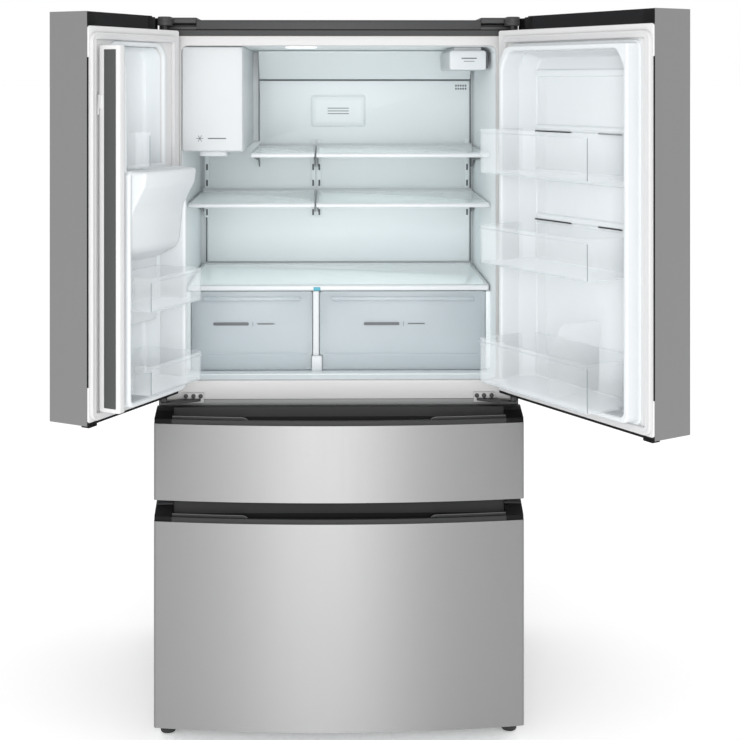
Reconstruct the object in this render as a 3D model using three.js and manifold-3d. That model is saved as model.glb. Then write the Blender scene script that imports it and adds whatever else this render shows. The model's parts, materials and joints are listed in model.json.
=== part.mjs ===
// A french door refrigerator: two unequal hinged doors over a flex drawer and a freezer drawer.
// Millimetres, +Z up. Everything is drawn in the cabinet's frame, with X = 0 on the cabinet's mid-plane,
// Y = 0 on the plane of its front flanges (+Y is towards the rear) and Z = 0 on the floor. The last lines
// shift the whole group, so that the origin is the middle of the footprint.
import * as THREE from "three";
import { mergeVertices } from "three/addons/utils/BufferGeometryUtils.js";
import Module from "manifold-3d";

const wasm = await Module();
wasm.setup();

// ---- Driving dimensions ----
const HALF = 454; // half the width of the doors and drawer fronts
const CAB = 451; // half the width of the cabinet
const DEPTH = 690; // cabinet, front flange to back
const BASE = 38; // underside of the cabinet
const FOOT_Y = 20; // the levelling feet, behind the front flange
const ROOF = 1764; // top of the cabinet wrapper
const TOP = 1790; // top of the cover over the hinges
const FLANGE = 14; // width of the wrapper's front flange
const SHEET = 1.5; // thickness of the wrapper
const HINGE_COVER = { half: 356, top: 1796, slotLow: 1773, slotHigh: 1781 }; // its raised ends
const FIT = 0.4; // gap left between pieces that touch

const IN = 396; // half the width inside the compartments
const WALL = 3; // thickness of the liners
const FLOOR = 885; // fresh food compartment
const CEILING = 1725;
const REAR = 553;
const SHELF_FRONT = 114;

const DOOR_LOW = 861;
const DOOR_HIGH = 1794;
const LINER_HIGH = 1762; // top of the white inner face of the doors
const DOOR_BACK = -10; // inner face of a closed door
const DOOR_EDGE = 93; // how far the door front stands out at the side edges
const DRAWER_EDGE = 83;
const BOW = 32; // how much further the fronts stand out at the middle
const SKIN = 1.5;
const CORNER = 7; // radius of the vertical edges of the fronts
const FRONT_STEPS = 12;
const SPLIT_LEFT = -89.7; // free edge of the left door, closed
const SPLIT_RIGHT = -84.8;
const PIVOT_X = 432;
const PIVOT_Y = -40;
const LEFT_OPEN = 117.76; // degrees from closed, as modelled
const RIGHT_OPEN = 120.88;

const RECESS = -62; // depth plane of the recess in the doors
const LEFT_DYKE = 56; // how far the raised walls of each door reach into the compartment
const RIGHT_DYKE = 40;
const BIN_FRONT = 106;
const CAP_NOTCH = 340; // the door caps are notched from here to the hinge edge
const NICHE = { x0: -345, x1: -185, z0: 1075, z1: 1400 }; // the dispenser's niche in the left door

const FLEX = {
  low: 612.4,
  high: 799,
  trimHigh: 828,
  tubLow: 640,
  tubHigh: 818,
  binBack: 470,
  binLow: 648,
  binHigh: 780,
};
const FREEZER = {
  low: 55.3,
  high: 560,
  trimHigh: 600,
  tubLow: 80,
  tubHigh: 590,
  binBack: 385,
  binLow: 95,
  binHigh: 385,
};
const ARM_END = 450; // rear end of the slide arms
const TUB_REAR = 497; // inside of the rear wall of the drawer compartments
const STEP_REAR = 405; // the freezer's lower part, in front of the machine compartment
const STEP_HIGH = 310;
// Slide arms of the drawers: the height of their underside, and their section.
const RAIL = { flex: 660, freezer: 352, height: 20, outer: 391, inner: 383 };

const SHELF_UPPER = 1450; // top faces
const SHELF_LOWER = 1320;
const CRISPER_COVER = 1107;
const SHELF_BACK = 528;
const CENTRE = -60; // the shelves split here
const POST = { x0: -67, x1: -50 }; // between the crispers
const POST_FOOT = { x0: -70, x1: -42.5, top: 925 };
const ICE_RIGHT = -242;
const ICE_LOW = 1460;

// ---- Materials ----
function material(color, roughness, metalness, opacity = 1) {
  const m = new THREE.MeshStandardMaterial({ color, roughness, metalness });
  m.opacity = opacity;
  m.transparent = opacity < 1;
  return m;
}
const STEEL = material(0xb4b4b4, 0.32, 0.9);
const PAINTED = material(0x9a9a9c, 0.5, 0.4);
const DARK = material(0x333435, 0.5, 0);
const WHITE = material(0xe9eeef, 0.4, 0);
const GREY = material(0x8c8d8f, 0.5, 0.1);
const FOAM = material(0xe8ddb0, 0.9, 0);
const GASKET = material(0xc4c4c4, 0.7, 0);
const CLEAR = material(0xdfe9ee, 0.12, 0, 0.35);
const CRISPER = material(0xc3ccd4, 0.2, 0, 0.5);
const MACHINE = material(0x26272a, 0.5, 0.5);
const ALUMINIUM = material(0xb9bcc0, 0.35, 1);
const RUBBER = material(0x18191a, 0.8, 0);

// ---- Shapes ----
function solid(geometry) {
  geometry.deleteAttribute("normal");
  geometry.deleteAttribute("uv");
  const merged = mergeVertices(geometry, 1e-4);
  const mesh = new wasm.Mesh({
    numProp: 3,
    vertProperties: new Float32Array(merged.attributes.position.array),
    triVerts: new Uint32Array(merged.index.array),
  });
  return new wasm.Manifold(mesh);
}

function box(x0, x1, y0, y1, z0, z1) {
  const geometry = new THREE.BoxGeometry(x1 - x0, y1 - y0, z1 - z0);
  geometry.translate((x0 + x1) / 2, (y0 + y1) / 2, (z0 + z1) / 2);
  return solid(geometry);
}

// A prism of the outline [[a, b], ...], given anticlockwise, pushed along one axis from low to high.
// The outline is (x, y) for "z", (y, z) for "x" and (x, z) for "y".
function prism(axis, outline, low, high) {
  const shape = new THREE.Shape(outline.map(([a, b]) => new THREE.Vector2(a, b)));
  const geometry = new THREE.ExtrudeGeometry(shape, { depth: high - low, bevelEnabled: false });
  const x = new THREE.Vector3(1, 0, 0);
  const y = new THREE.Vector3(0, 1, 0);
  const z = new THREE.Vector3(0, 0, 1);
  const matrix = new THREE.Matrix4();
  if (axis === "x") {
    matrix.makeBasis(y, z, x).setPosition(low, 0, 0);
  } else if (axis === "y") {
    matrix.makeBasis(x, z, y.clone().negate()).setPosition(0, high, 0);
  } else {
    matrix.makeBasis(x, y, z).setPosition(0, 0, low);
  }
  return solid(geometry.applyMatrix4(matrix));
}

// A box given by its inner and outer distance from the cabinet's mid-plane, on side s.
function sideBox(s, inner, outer, y0, y1, z0, z1) {
  return box(Math.min(s * inner, s * outer), Math.max(s * inner, s * outer), y0, y1, z0, z1);
}

function cylinder(axis, radius, centre, low, high, sides = 20) {
  const geometry = new THREE.CylinderGeometry(radius, radius, high - low, sides);
  const middle = (low + high) / 2;
  if (axis === "x") {
    geometry.rotateZ(Math.PI / 2).translate(middle, centre[0], centre[1]);
  } else if (axis === "y") {
    geometry.translate(centre[0], middle, centre[1]);
  } else {
    geometry.rotateX(Math.PI / 2).translate(centre[0], centre[1], middle);
  }
  return solid(geometry);
}

function join(...pieces) {
  return pieces.reduce((a, b) => a.add(b));
}

function cut(body, ...tools) {
  return tools.reduce((a, b) => a.subtract(b), body);
}

// A tray or bin: a box open at the top, with walls of the given thickness.
function tray(x0, x1, y0, y1, z0, z1, t) {
  return cut(box(x0, x1, y0, y1, z0, z1), box(x0 + t, x1 - t, y0 + t, y1 - t, z0 + t, z1 + 1));
}

// A frame or tube: the outer box less an inner one that runs through it along Y.
function tubeAlongY(x, y0, y1, z0, z1, t) {
  return cut(box(-x, x, y0, y1, z0, z1), box(-x + t, x - t, y0 - 1, y1 + 1, z0 + t, z1 - t));
}

const root = new THREE.Group();

function add(parent, name, body, look) {
  const { vertProperties, triVerts } = body.getMesh();
  const geometry = new THREE.BufferGeometry();
  geometry.setAttribute("position", new THREE.BufferAttribute(new Float32Array(vertProperties), 3));
  geometry.setIndex(new THREE.BufferAttribute(new Uint32Array(triVerts), 1));
  geometry.computeVertexNormals();
  const mesh = new THREE.Mesh(geometry, look);
  mesh.name = name;
  parent.add(mesh);
}

// A group that holds pieces drawn in the closed position and turns them about a vertical hinge line.
function hinged(parent, x, y, degrees) {
  const outer = new THREE.Group();
  outer.position.set(x, y, 0);
  outer.rotation.z = THREE.MathUtils.degToRad(degrees);
  const inner = new THREE.Group();
  inner.position.set(-x, -y, 0);
  outer.add(inner);
  parent.add(outer);
  return inner;
}

// ---- Bowed fronts ----
function frontY(x, edge) {
  return -(edge + BOW * (1 - (x / HALF) ** 2));
}

// The front outline from x0 to x1, inset by t from the outside.
function frontLine(x0, x1, edge, t) {
  const line = [];
  const turn = 4;
  for (let i = 0; i <= turn; i++) {
    const a = (i / turn) * (Math.PI / 2);
    const r = CORNER - t;
    line.push([x0 + CORNER - r * Math.cos(a), frontY(x0 + CORNER, edge) + CORNER - r * Math.sin(a)]);
  }
  for (let i = 1; i < FRONT_STEPS; i++) {
    const x = x0 + CORNER + ((x1 - x0 - 2 * CORNER) * i) / FRONT_STEPS;
    line.push([x, frontY(x, edge) + t]);
  }
  for (let i = turn; i >= 0; i--) {
    const a = (i / turn) * (Math.PI / 2);
    const r = CORNER - t;
    line.push([x1 - CORNER + r * Math.cos(a), frontY(x1 - CORNER, edge) + CORNER - r * Math.sin(a)]);
  }
  return line;
}

// The folded steel skin: the bowed front with a return down each side.
function skin(x0, x1, edge, back, z0, z1) {
  const outer = frontLine(x0, x1, edge, 0);
  const inner = frontLine(x0, x1, edge, SKIN).reverse();
  const outline = [[x0, back], ...outer, [x1, back], [x1 - SKIN, back], ...inner, [x0 + SKIN, back]];
  return prism("z", outline, z0, z1);
}

// What fills the space behind a skin, back to the plane y = back.
function fill(x0, x1, edge, back, z0, z1, t) {
  return prism("z", [[x0 + t, back], ...frontLine(x0, x1, edge, t), [x1 - t, back]], z0, z1);
}

// ---- Cabinet ----
function cabinet() {
  const wrapper = join(
    tubeAlongY(CAB, 0, DEPTH, BASE, ROOF, SHEET),
    tubeAlongY(CAB, 0, SHEET, BASE, ROOF, FLANGE),
  );
  add(root, "cabinet_wrapper", wrapper, PAINTED);

  const skirt = WALL + FIT;
  const freshOuter = box(-IN - skirt, IN + skirt, -1, REAR + skirt, 834, CEILING + skirt);
  const tubOuter = box(-IN - skirt, IN + skirt, -1, TUB_REAR + skirt, 60, 834.5);
  const machineRoom = box(-CAB, CAB, STEP_REAR + 12, DEPTH + 1, BASE, STEP_HIGH - 8);
  const coilRoom = box(-280, 280, TUB_REAR - 5, 575, 325, 690);
  const inside = CAB - SHEET - FIT;
  const roof = ROOF - SHEET - FIT;
  const foam = box(-inside, inside, 4.5, 678, BASE + SHEET + FIT, roof);
  add(root, "insulation_foam", cut(foam, freshOuter, tubOuter, machineRoom, coilRoom), FOAM);

  const vents = [];
  for (let i = 0; i < 8; i++) {
    const z = 90 + 24 * i;
    vents.push(box(-300, -60, DEPTH - 15, DEPTH + 15, z, z + 9));
    vents.push(box(60, 300, DEPTH - 15, DEPTH + 15, z, z + 9));
  }
  add(root, "rear_panel", box(-inside, inside, 679, 681, 330, roof), PAINTED);
  const cover = cut(box(-inside, inside, 679, 681, 60, 329), ...vents);
  add(root, "machine_cover", cover, MACHINE);

  for (const [side, s] of [["left", -1], ["right", 1]]) {
    const px = s * PIVOT_X;
    const plate = join(
      box(px - 15, px + 15, PIVOT_Y, 95, 1776, 1780),
      cylinder("z", 15, [px, PIVOT_Y], 1776, 1780),
      cylinder("z", 6, [px, PIVOT_Y], 1744, 1780, 16),
      sideBox(s, 360, 447, 30, 95, ROOF + FIT, 1780),
    );
    add(root, `top_hinge_${side}`, plate, GREY);

    const arm = [[-392, -5], [-338, -5], [-352, -16], [-422, -50], [-440, -50], [-444, -38]];
    const bracket = join(
      sideBox(s, 338, 392, -6, -2.3, 831, 856),
      prism("z", orient(s, arm), 836, 842),
      cylinder("z", 6.5, [px, PIVOT_Y], 836, 884, 16),
    );
    add(root, `center_hinge_${side}`, bracket, GREY);
  }

  // The cover over the hinges: a low dark box along the front of the roof, raised at each end, with a
  // nose that follows the hinge arm out over the pin, and a slot for the arm.
  const ends = [];
  const hollows = [box(-350, 350, 6, 126, 1765, 1787)];
  for (const s of [-1, 1]) {
    const pin = s * PIVOT_X;
    const { half, top, slotLow, slotHigh } = HINGE_COVER;
    ends.push(
      sideBox(s, half, CAB, 2, 150, 1766, top),
      box(pin - 17, pin + 17, PIVOT_Y, 10, 1784, top),
      cylinder("z", 17, [pin, PIVOT_Y], 1784, top),
    );
    hollows.push(
      sideBox(s, half + 2, CAB - 2, 5, 97, 1765, slotHigh),
      sideBox(s, half + 2, CAB - 2, -1, 6, slotLow, slotHigh),
    );
  }
  const top = cut(join(box(-CAB, CAB, 2, 130, 1766, TOP), ...ends), ...hollows);
  add(root, "top_cover", top, DARK);

  const railX = CAB - FLANGE - 1;
  add(root, "cross_rail", box(-railX, railX, -FIT - SHEET, -FIT, 825, 838.5), GREY);

  for (const [side, s] of [["left", -1], ["right", 1]]) {
    const foot = join(
      cylinder("z", 19, [s * 430, FOOT_Y], 0, 12),
      cylinder("z", 7, [s * 430, FOOT_Y], 10, BASE - FIT, 12),
    );
    add(root, `front_foot_${side}`, foot, RUBBER);
  }
}

// A plan outline drawn for the left side, mirrored for the right and kept anticlockwise.
function orient(s, outline) {
  const placed = outline.map(([x, y]) => [-s * x, y]);
  const area = placed.reduce((sum, [x, y], i) => {
    const [u, v] = placed[(i + 1) % placed.length];
    return sum + x * v - u * y;
  }, 0);
  return area > 0 ? placed : placed.reverse();
}

// ---- Liners ----
function liners() {
  const outerX = IN + WALL;
  const flangeX = CAB - FLANGE - 0.6;
  const room = box(-IN, IN, -5, REAR, FLOOR, CEILING);
  let fresh = join(
    box(-outerX, outerX, 0.5, REAR + WALL, FLOOR - WALL, CEILING + WALL),
    box(-flangeX, flangeX, 0, 3, 838.8, ROOF - FLANGE - 0.6),
  );
  const ledges = [-1, 1].map((s) => sideBox(s, 385, IN, 122, REAR + 1, 1080, 1091.6));
  fresh = join(cut(fresh, room), ...ledges);
  add(root, "fresh_food_liner", fresh, WHITE);

  const tub = cut(
    join(
      box(-outerX, outerX, 0.5, TUB_REAR + WALL, STEP_HIGH - WALL, FLEX.tubHigh + WALL),
      box(-outerX, outerX, 0.5, STEP_REAR + WALL, FREEZER.tubLow - WALL, STEP_HIGH),
      box(-flangeX, flangeX, 0, 3, 54, 824.6),
    ),
    box(-IN, IN, -5, TUB_REAR, FLEX.tubLow, FLEX.tubHigh),
    box(-IN, IN, -5, TUB_REAR, STEP_HIGH, FREEZER.tubHigh),
    box(-IN, IN, -5, STEP_REAR, FREEZER.tubLow, STEP_HIGH + 1),
  );
  const channels = [];
  for (const z of [RAIL.flex, RAIL.freezer]) {
    for (const s of [-1, 1]) {
      for (const low of [z - 5, z + RAIL.height + 1]) {
        channels.push(sideBox(s, 388, IN, 12, TUB_REAR - 10, low, low + 4));
      }
    }
  }
  add(root, "lower_liner", join(tub, ...channels), WHITE);
}

// ---- Inside the fresh food compartment ----
function shelf(x0, x1, top) {
  const front = SHELF_FRONT;
  const back = SHELF_BACK;
  const pane = join(
    box(x0, x1, front, back, top - 5, top - 1),
    box(x0, x1, front, front + 10, top - 12, top),
    box(x0, x1, back - 10, back, top - 12, top + 6),
    box(x0, x0 + 6, front, back, top - 9, top),
    box(x1 - 6, x1, front, back, top - 9, top),
  );
  const arm = [
    [back - 60, top - 40],
    [front + 60, top - 14],
    [front + 60, top - 3],
    [back, top - 3],
    [back, top - 62],
  ];
  const brackets = [x0 + 2, x1 - 5].map((x) => prism("x", arm, x, x + 3));
  return join(pane, ...brackets);
}

function interior() {
  // The air duct panel on the rear wall, with the sloping cover of the duct at the ceiling.
  const back = REAR - FIT;
  const duct = join(
    box(ICE_RIGHT + 16, 390, 541, back, 1112, 1642),
    prism("x", [[530, 1638], [back, 1638], [back, 1724], [470, 1724]], ICE_RIGHT + 16, 390),
  );
  add(root, "rear_air_duct", cut(duct, box(-140, 160, 536, 560, 1130, 1140)), WHITE);

  const slots = [];
  for (const z of [1247, 1302, 1332, 1378]) {
    slots.push(box(-72, -66, 520, 538, z, z + 18));
    slots.push(box(-54, -48, 520, 538, z, z + 18));
  }
  add(root, "shelf_ladder", cut(box(-76, -44, 534, 540.6, 1236, 1474), ...slots), WHITE);

  add(root, "upper_shelf_left", shelf(-228, CENTRE - 2, SHELF_UPPER), CLEAR);
  add(root, "upper_shelf_right", shelf(CENTRE + 2, 393, SHELF_UPPER), CLEAR);
  add(root, "lower_shelf_left", shelf(-390, CENTRE - 2, SHELF_LOWER), CLEAR);
  add(root, "lower_shelf_right", shelf(CENTRE + 2, 393, SHELF_LOWER), CLEAR);

  const rim = cut(
    box(-394, 394, SHELF_FRONT, 538, CRISPER_COVER - 15, CRISPER_COVER),
    box(-386, 386, SHELF_FRONT + 12, 530, CRISPER_COVER - 16, CRISPER_COVER - 7),
    box(-386, 386, SHELF_FRONT + 12, 530, CRISPER_COVER - 3, CRISPER_COVER + 1),
  );
  add(root, "crisper_cover", rim, CLEAR);
  const divider = join(
    box(POST.x0, POST.x1, SHELF_FRONT + 4, 525, FLOOR + FIT, 1091.6),
    box(POST_FOOT.x0, POST_FOOT.x1, SHELF_FRONT - 8, SHELF_FRONT + 5, FLOOR + FIT, POST_FOOT.top),
  );
  add(root, "crisper_divider", divider, WHITE);

  const lamp = box(-137, -55, 26, 66, CEILING - 6, CEILING - FIT);
  add(root, "ceiling_light", lamp, CLEAR);

  const filter = join(
    box(287, 383, 100, 380, 1665, 1716),
    box(300, 372, 120, 360, 1715, CEILING - FIT),
  );
  add(root, "filter_housing", filter, WHITE);

  // The ice maker: a housing hung in the corner, and a bin whose front panel closes it.
  const housing = cut(
    box(-IN + 0.5, ICE_RIGHT, 32, 500, ICE_LOW - 2, CEILING - FIT),
    box(-IN + 3.5, ICE_RIGHT - 3, 20, 497, ICE_LOW + 1, CEILING - 4),
    box(-352, -288, 60, 130, ICE_LOW - 5, ICE_LOW + 5),
  );
  const lip = cut(
    box(-356, -284, 56, 134, ICE_LOW - 15, ICE_LOW - 1),
    box(-352, -288, 60, 130, ICE_LOW - 20, ICE_LOW + 5),
  );
  add(root, "ice_maker_housing", join(housing, lip), WHITE);
  const bin = join(
    box(-393, ICE_RIGHT - 1, 15, 31, ICE_LOW, CEILING - 2),
    tray(-386, ICE_RIGHT - 8, 30, 330, ICE_LOW + 10, 1610, 3),
  );
  add(root, "ice_bin", cut(bin, box(-350, -290, 64, 126, ICE_LOW + 5, ICE_LOW + 20)), WHITE);

  // The crispers: a pan behind a wider front, which is notched to pass over the foot of the post.
  const foot = box(POST_FOOT.x0 - 1, POST_FOOT.x1 + 1, SHELF_FRONT - 10, 520, FLOOR, POST_FOOT.top + 2);
  const fronts = [
    ["left", -380, POST.x0 - 2, -376, -75],
    ["right", POST.x1 + 2, 380, -37, 376],
  ];
  for (const [side, x0, x1, in0, in1] of fronts) {
    const pan = join(
      tray(in0, in1, SHELF_FRONT + 3, 515, FLOOR + 4, 1070, 3),
      box(x0, x1, SHELF_FRONT, SHELF_FRONT + 6, FLOOR + 2, 1088),
      box(x0 + 30, x1 - 30, SHELF_FRONT - 6, SHELF_FRONT + 2, 1066, 1078),
    );
    add(root, `crisper_${side}`, cut(pan, foot), CRISPER);
  }
}

// ---- Cooling ----
function rotor(axis, centre, low, high, hub, tip, blades) {
  const parts = [cylinder(axis, hub, centre, low, high, 14)];
  for (let i = 0; i < blades; i++) {
    const blade = new THREE.BoxGeometry(tip - hub + 4, 22, 2);
    blade.rotateX(0.5).translate((hub + tip) / 2 - 2, 0, 0);
    blade.rotateY((2 * Math.PI * i) / blades);
    if (axis === "x") {
      blade.rotateZ(Math.PI / 2).translate((low + high) / 2, centre[0], centre[1]);
    } else {
      blade.translate(centre[0], (low + high) / 2, centre[1]);
    }
    parts.push(solid(blade));
  }
  return join(...parts);
}

function machinery() {
  const compressor = join(
    cylinder("z", 78, [-250, 560], 62, 190, 24),
    cylinder("z", 60, [-250, 560], 188, 214, 24),
    box(-350, -150, 480, 640, BASE + 2 + FIT, 64),
    cylinder("x", 6, [610, 180], -190, -60, 10),
  );
  add(root, "compressor", compressor, MACHINE);

  const rows = [];
  for (let i = 0; i < 7; i++) {
    const z = 340 + 36 * i;
    rows.push(cylinder("x", 5, [540, z], -232, 232, 8));
  }
  const fins = [];
  for (let i = 0; i <= 10; i++) {
    const x = -220 + 44 * i;
    fins.push(box(x - 1, x + 1, 515, 565, 334, 566));
  }
  add(root, "evaporator", join(...rows, ...fins, box(-232, -228, 520, 560, 330, 566)), ALUMINIUM);
  add(root, "evaporator_fan", rotor("y", [0, 628], 528, 548, 14, 52, 5), DARK);
  add(root, "condenser_fan", rotor("x", [560, 150], 40, 64, 18, 72, 6), DARK);
  const rollers = join(
    cylinder("x", 5, [640, 18], -430, 430, 12),
    cylinder("x", 18, [640, 18], -430, -408, 24),
    cylinder("x", 18, [640, 18], 408, 430, 24),
  );
  add(root, "rear_rollers", rollers, RUBBER);
}

// ---- Doors ----
// The bin of a door: clear walls, a thicker rim along the front and rounded front corners.
function doorBin(x0, x1, back, front, z0, z1) {
  const r = 16;
  const outline = (t) => {
    const points = [[x0 + t, back + t], [x1 - t, back + t]];
    for (let i = 0; i <= 4; i++) {
      const a = (i / 4) * (Math.PI / 2);
      points.push([x1 - r + (r - t) * Math.cos(a), front - r + (r - t) * Math.sin(a)]);
    }
    for (let i = 0; i <= 4; i++) {
      const a = (i / 4) * (Math.PI / 2);
      points.push([x0 + r - (r - t) * Math.sin(a), front - r + (r - t) * Math.cos(a)]);
    }
    return points;
  };
  return cut(prism("z", outline(0), z0, z1), prism("z", outline(2.5), z0 + 3, z1 + 1));
}

// What is cut from the top of a door on hinge side s: the notch over the hinge, open to the side and back.
function hingeRoom(s) {
  const px = s * PIVOT_X;
  const side = s * (HALF + 3);
  const notch = s * CAP_NOTCH;
  return join(
    cylinder("z", 20, [px, PIVOT_Y], LINER_HIGH - 2, DOOR_HIGH + 5),
    box(Math.min(side, notch), Math.max(side, notch), -75, 0, LINER_HIGH - 2, DOOR_HIGH + 5),
  );
}

function pinHoles(s) {
  const centre = [s * PIVOT_X, PIVOT_Y];
  return join(
    cylinder("z", 7.5, centre, LINER_HIGH - 22, LINER_HIGH + 10, 16),
    cylinder("z", 8, centre, DOOR_LOW - 5, 886, 16),
  );
}

// The steel skin of a door and the dark plastic frame behind it, hollow for the core.
function door(s, x0, x1) {
  const steel = cut(skin(x0, x1, DOOR_EDGE, -14, DOOR_LOW, DOOR_HIGH), hingeRoom(s));
  const plate = fill(x0, x1, DOOR_EDGE, -13, DOOR_LOW + 0.5, DOOR_HIGH - 0.5, SKIN + FIT);
  const hollow = box(x0 + 5, x1 - 5, -200, 0, DOOR_LOW + 8, LINER_HIGH - 0.5);
  const frame = cut(plate, hollow, hingeRoom(s), pinHoles(s));
  return { steel, frame };
}

// Solid core and inner face of a door, before its recess and raised walls.
function core(x0, x1) {
  return join(
    box(x0 + 5.5, x1 - 5.5, -82, -12.5, DOOR_LOW + 8.5, LINER_HIGH - 1),
    box(x0 + 1, x1 - 1, -12.6, DOOR_BACK, DOOR_LOW + 7, LINER_HIGH - 0.5),
  );
}

function gasket(x0, x1) {
  const z0 = 870;
  const z1 = 1748;
  const w = 18;
  return cut(
    box(x0, x1, DOOR_BACK + FIT, -0.6, z0, z1),
    box(x0 + w, x1 - w, -20, 5, z0 + w, z1 - w),
  );
}

function leftDoor() {
  const group = hinged(root, -PIVOT_X, PIVOT_Y, -LEFT_OPEN);
  const x0 = -HALF + 1;
  const x1 = SPLIT_LEFT;
  const niche = NICHE;
  const { steel, frame } = door(-1, x0, x1);
  const hole = box(niche.x0, niche.x1, -200, -34, niche.z0, niche.z1);
  add(group, "left_door_skin", cut(steel, hole), STEEL);
  add(group, "left_door_frame", frame, DARK);

  // Raised walls: outer faces at out0 and out1, inner faces at in0 and in1.
  const [out0, in0, in1, out1] = [-388, -376, -164, -152];
  const lowWalls = box(out0, out1, -11, LEFT_DYKE, 893, 1432);
  const highWall = box(in1, out1, -11, 44, 1430, 1700);
  const body = cut(join(core(x0, x1), lowWalls), box(in0, in1, RECESS, LEFT_DYKE + 5, 905, 1440));
  const liner = cut(
    join(body, highWall),
    box(in0, in1, RECESS, 20, 1430, 1718),
    box(niche.x0 - 0.5, niche.x1 + 0.5, -90, -34, niche.z0 - 0.5, niche.z1 + 0.5),
    pinHoles(-1),
  );
  add(group, "left_door_liner", liner, WHITE);
  add(group, "left_door_gasket", gasket(-434, x1 - 3), GASKET);

  // The dispenser: its tower fills the recess behind the niche, and its lip reaches up under the ice maker.
  const back = RECESS + FIT;
  const side = [
    [back, 1215],
    [-12, 1215],
    [44, 1245],
    [54, 1340],
    [90, 1398],
    [95, 1430],
    [back, 1430],
  ];
  const tower = prism("x", side, in0 + FIT, in1 - FIT);
  const lower = box(in0 + FIT, in1 - FIT, back, -20, 1060, 1216);
  const chute = prism("x", [[20, 1380], [60, 1380], [70, 1440], [20, 1440]], -340, -296);
  const behind = box(niche.x0 - 4, niche.x1 + 4, -90, -29.6, niche.z0 - 4, niche.z1 + 4);
  add(group, "dispenser_tower", cut(join(tower, lower), chute, behind), WHITE);
  add(group, "dispenser_niche", dispenserNiche(x0, x1), DARK);

  const paddle = join(
    box(-292, -238, -62, -57, 1200, 1345),
    cylinder("x", 4, [-57, 1345], -292, -238, 12),
  );
  add(group, "dispenser_paddle", paddle, DARK);

  const ends = [-385, -168, in0 + 0.5, in1 - 0.5];
  add(group, "left_bin_upper", doorBin(-232, in1 - 0.6, RECESS + 1, 62, 1436, 1519), CLEAR);
  add(group, "left_bin_middle", bigBin(...ends, 1112, 1190, -19, LEFT_DYKE), CLEAR);
  add(group, "left_bin_lower", bigBin(...ends, 923, 990, RECESS + 1, LEFT_DYKE), CLEAR);

  // The bar that closes the middle, folded back against the door's free edge.
  add(group, "mullion_bar", box(-145, -119, -5, 52, 889, 1718), WHITE);
}

// The niche: a cup sunk in the door, with a surround laid on the steel front.
function dispenserNiche(x0, x1) {
  const { x0: n0, x1: n1, z0, z1 } = NICHE;
  const cup = cut(
    join(
      box(n0 - 14, n1 + 14, -126.5, -113, z0 - 14, z1 + 100),
      box(n0 + FIT, n1 - FIT, -115, -34.4, z0 + FIT, z1 - FIT),
    ),
    box(n0 + 8, n1 - 8, -135, -40, z0 + 8, z1 - 8),
    fill(x0, x1, DOOR_EDGE, 0, 1000, z0, -FIT),
  );
  const sheet = fill(x0, x1, DOOR_EDGE, -13, 900, 1700, -FIT);
  const throat = box(n0 + FIT, n1 - FIT, -200, 0, z0 + FIT, z1 - FIT);
  return cut(cup, cut(sheet, throat));
}

// A deep bin: its back part sits between the raised walls, and its front part spreads over them.
function bigBin(x0, x1, in0, in1, z0, z1, back, dyke) {
  const body = join(
    box(x0, x1, dyke + 2, BIN_FRONT, z0, z1),
    box(in0 + FIT, in1 - FIT, back, dyke + 3, z0, z1),
  );
  const room = join(
    box(x0 + 2.5, x1 - 2.5, dyke + 4.5, BIN_FRONT - 2.5, z0 + 3, z1 + 1),
    box(in0 + 3, in1 - 3, back + 2.5, dyke + 6, z0 + 3, z1 + 1),
  );
  return cut(body, room);
}

function rightDoor() {
  const group = hinged(root, PIVOT_X, PIVOT_Y, RIGHT_OPEN);
  const x0 = SPLIT_RIGHT;
  const x1 = HALF - 1;
  const { steel, frame } = door(1, x0, x1);
  add(group, "right_door_skin", steel, STEEL);
  add(group, "right_door_frame", frame, DARK);
  const wall = [[-42, 893], [388, 893], [388, 1681], [366, 1720], [-42, 1720]];
  const hollow = [[-30, 905], [376, 905], [376, 1676], [358, 1708], [-12, 1708], [-30, 1676]];
  const raised = join(core(x0, x1), prism("y", wall, -11, RIGHT_DYKE));
  const liner = cut(raised, prism("y", hollow, RECESS, RIGHT_DYKE + 5), pinHoles(1));
  add(group, "right_door_liner", liner, WHITE);
  add(group, "right_door_gasket", gasket(x0 + 3, 434), GASKET);
  for (const [name, z0, z1] of [["upper", 1416, 1522], ["middle", 1201, 1293], ["lower", 915, 1022]]) {
    const bin = bigBin(-4, 386, -4.5, 375.5, z0, z1, RECESS + 1, RIGHT_DYKE);
    add(group, `right_bin_${name}`, bin, CLEAR);
  }
}

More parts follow.
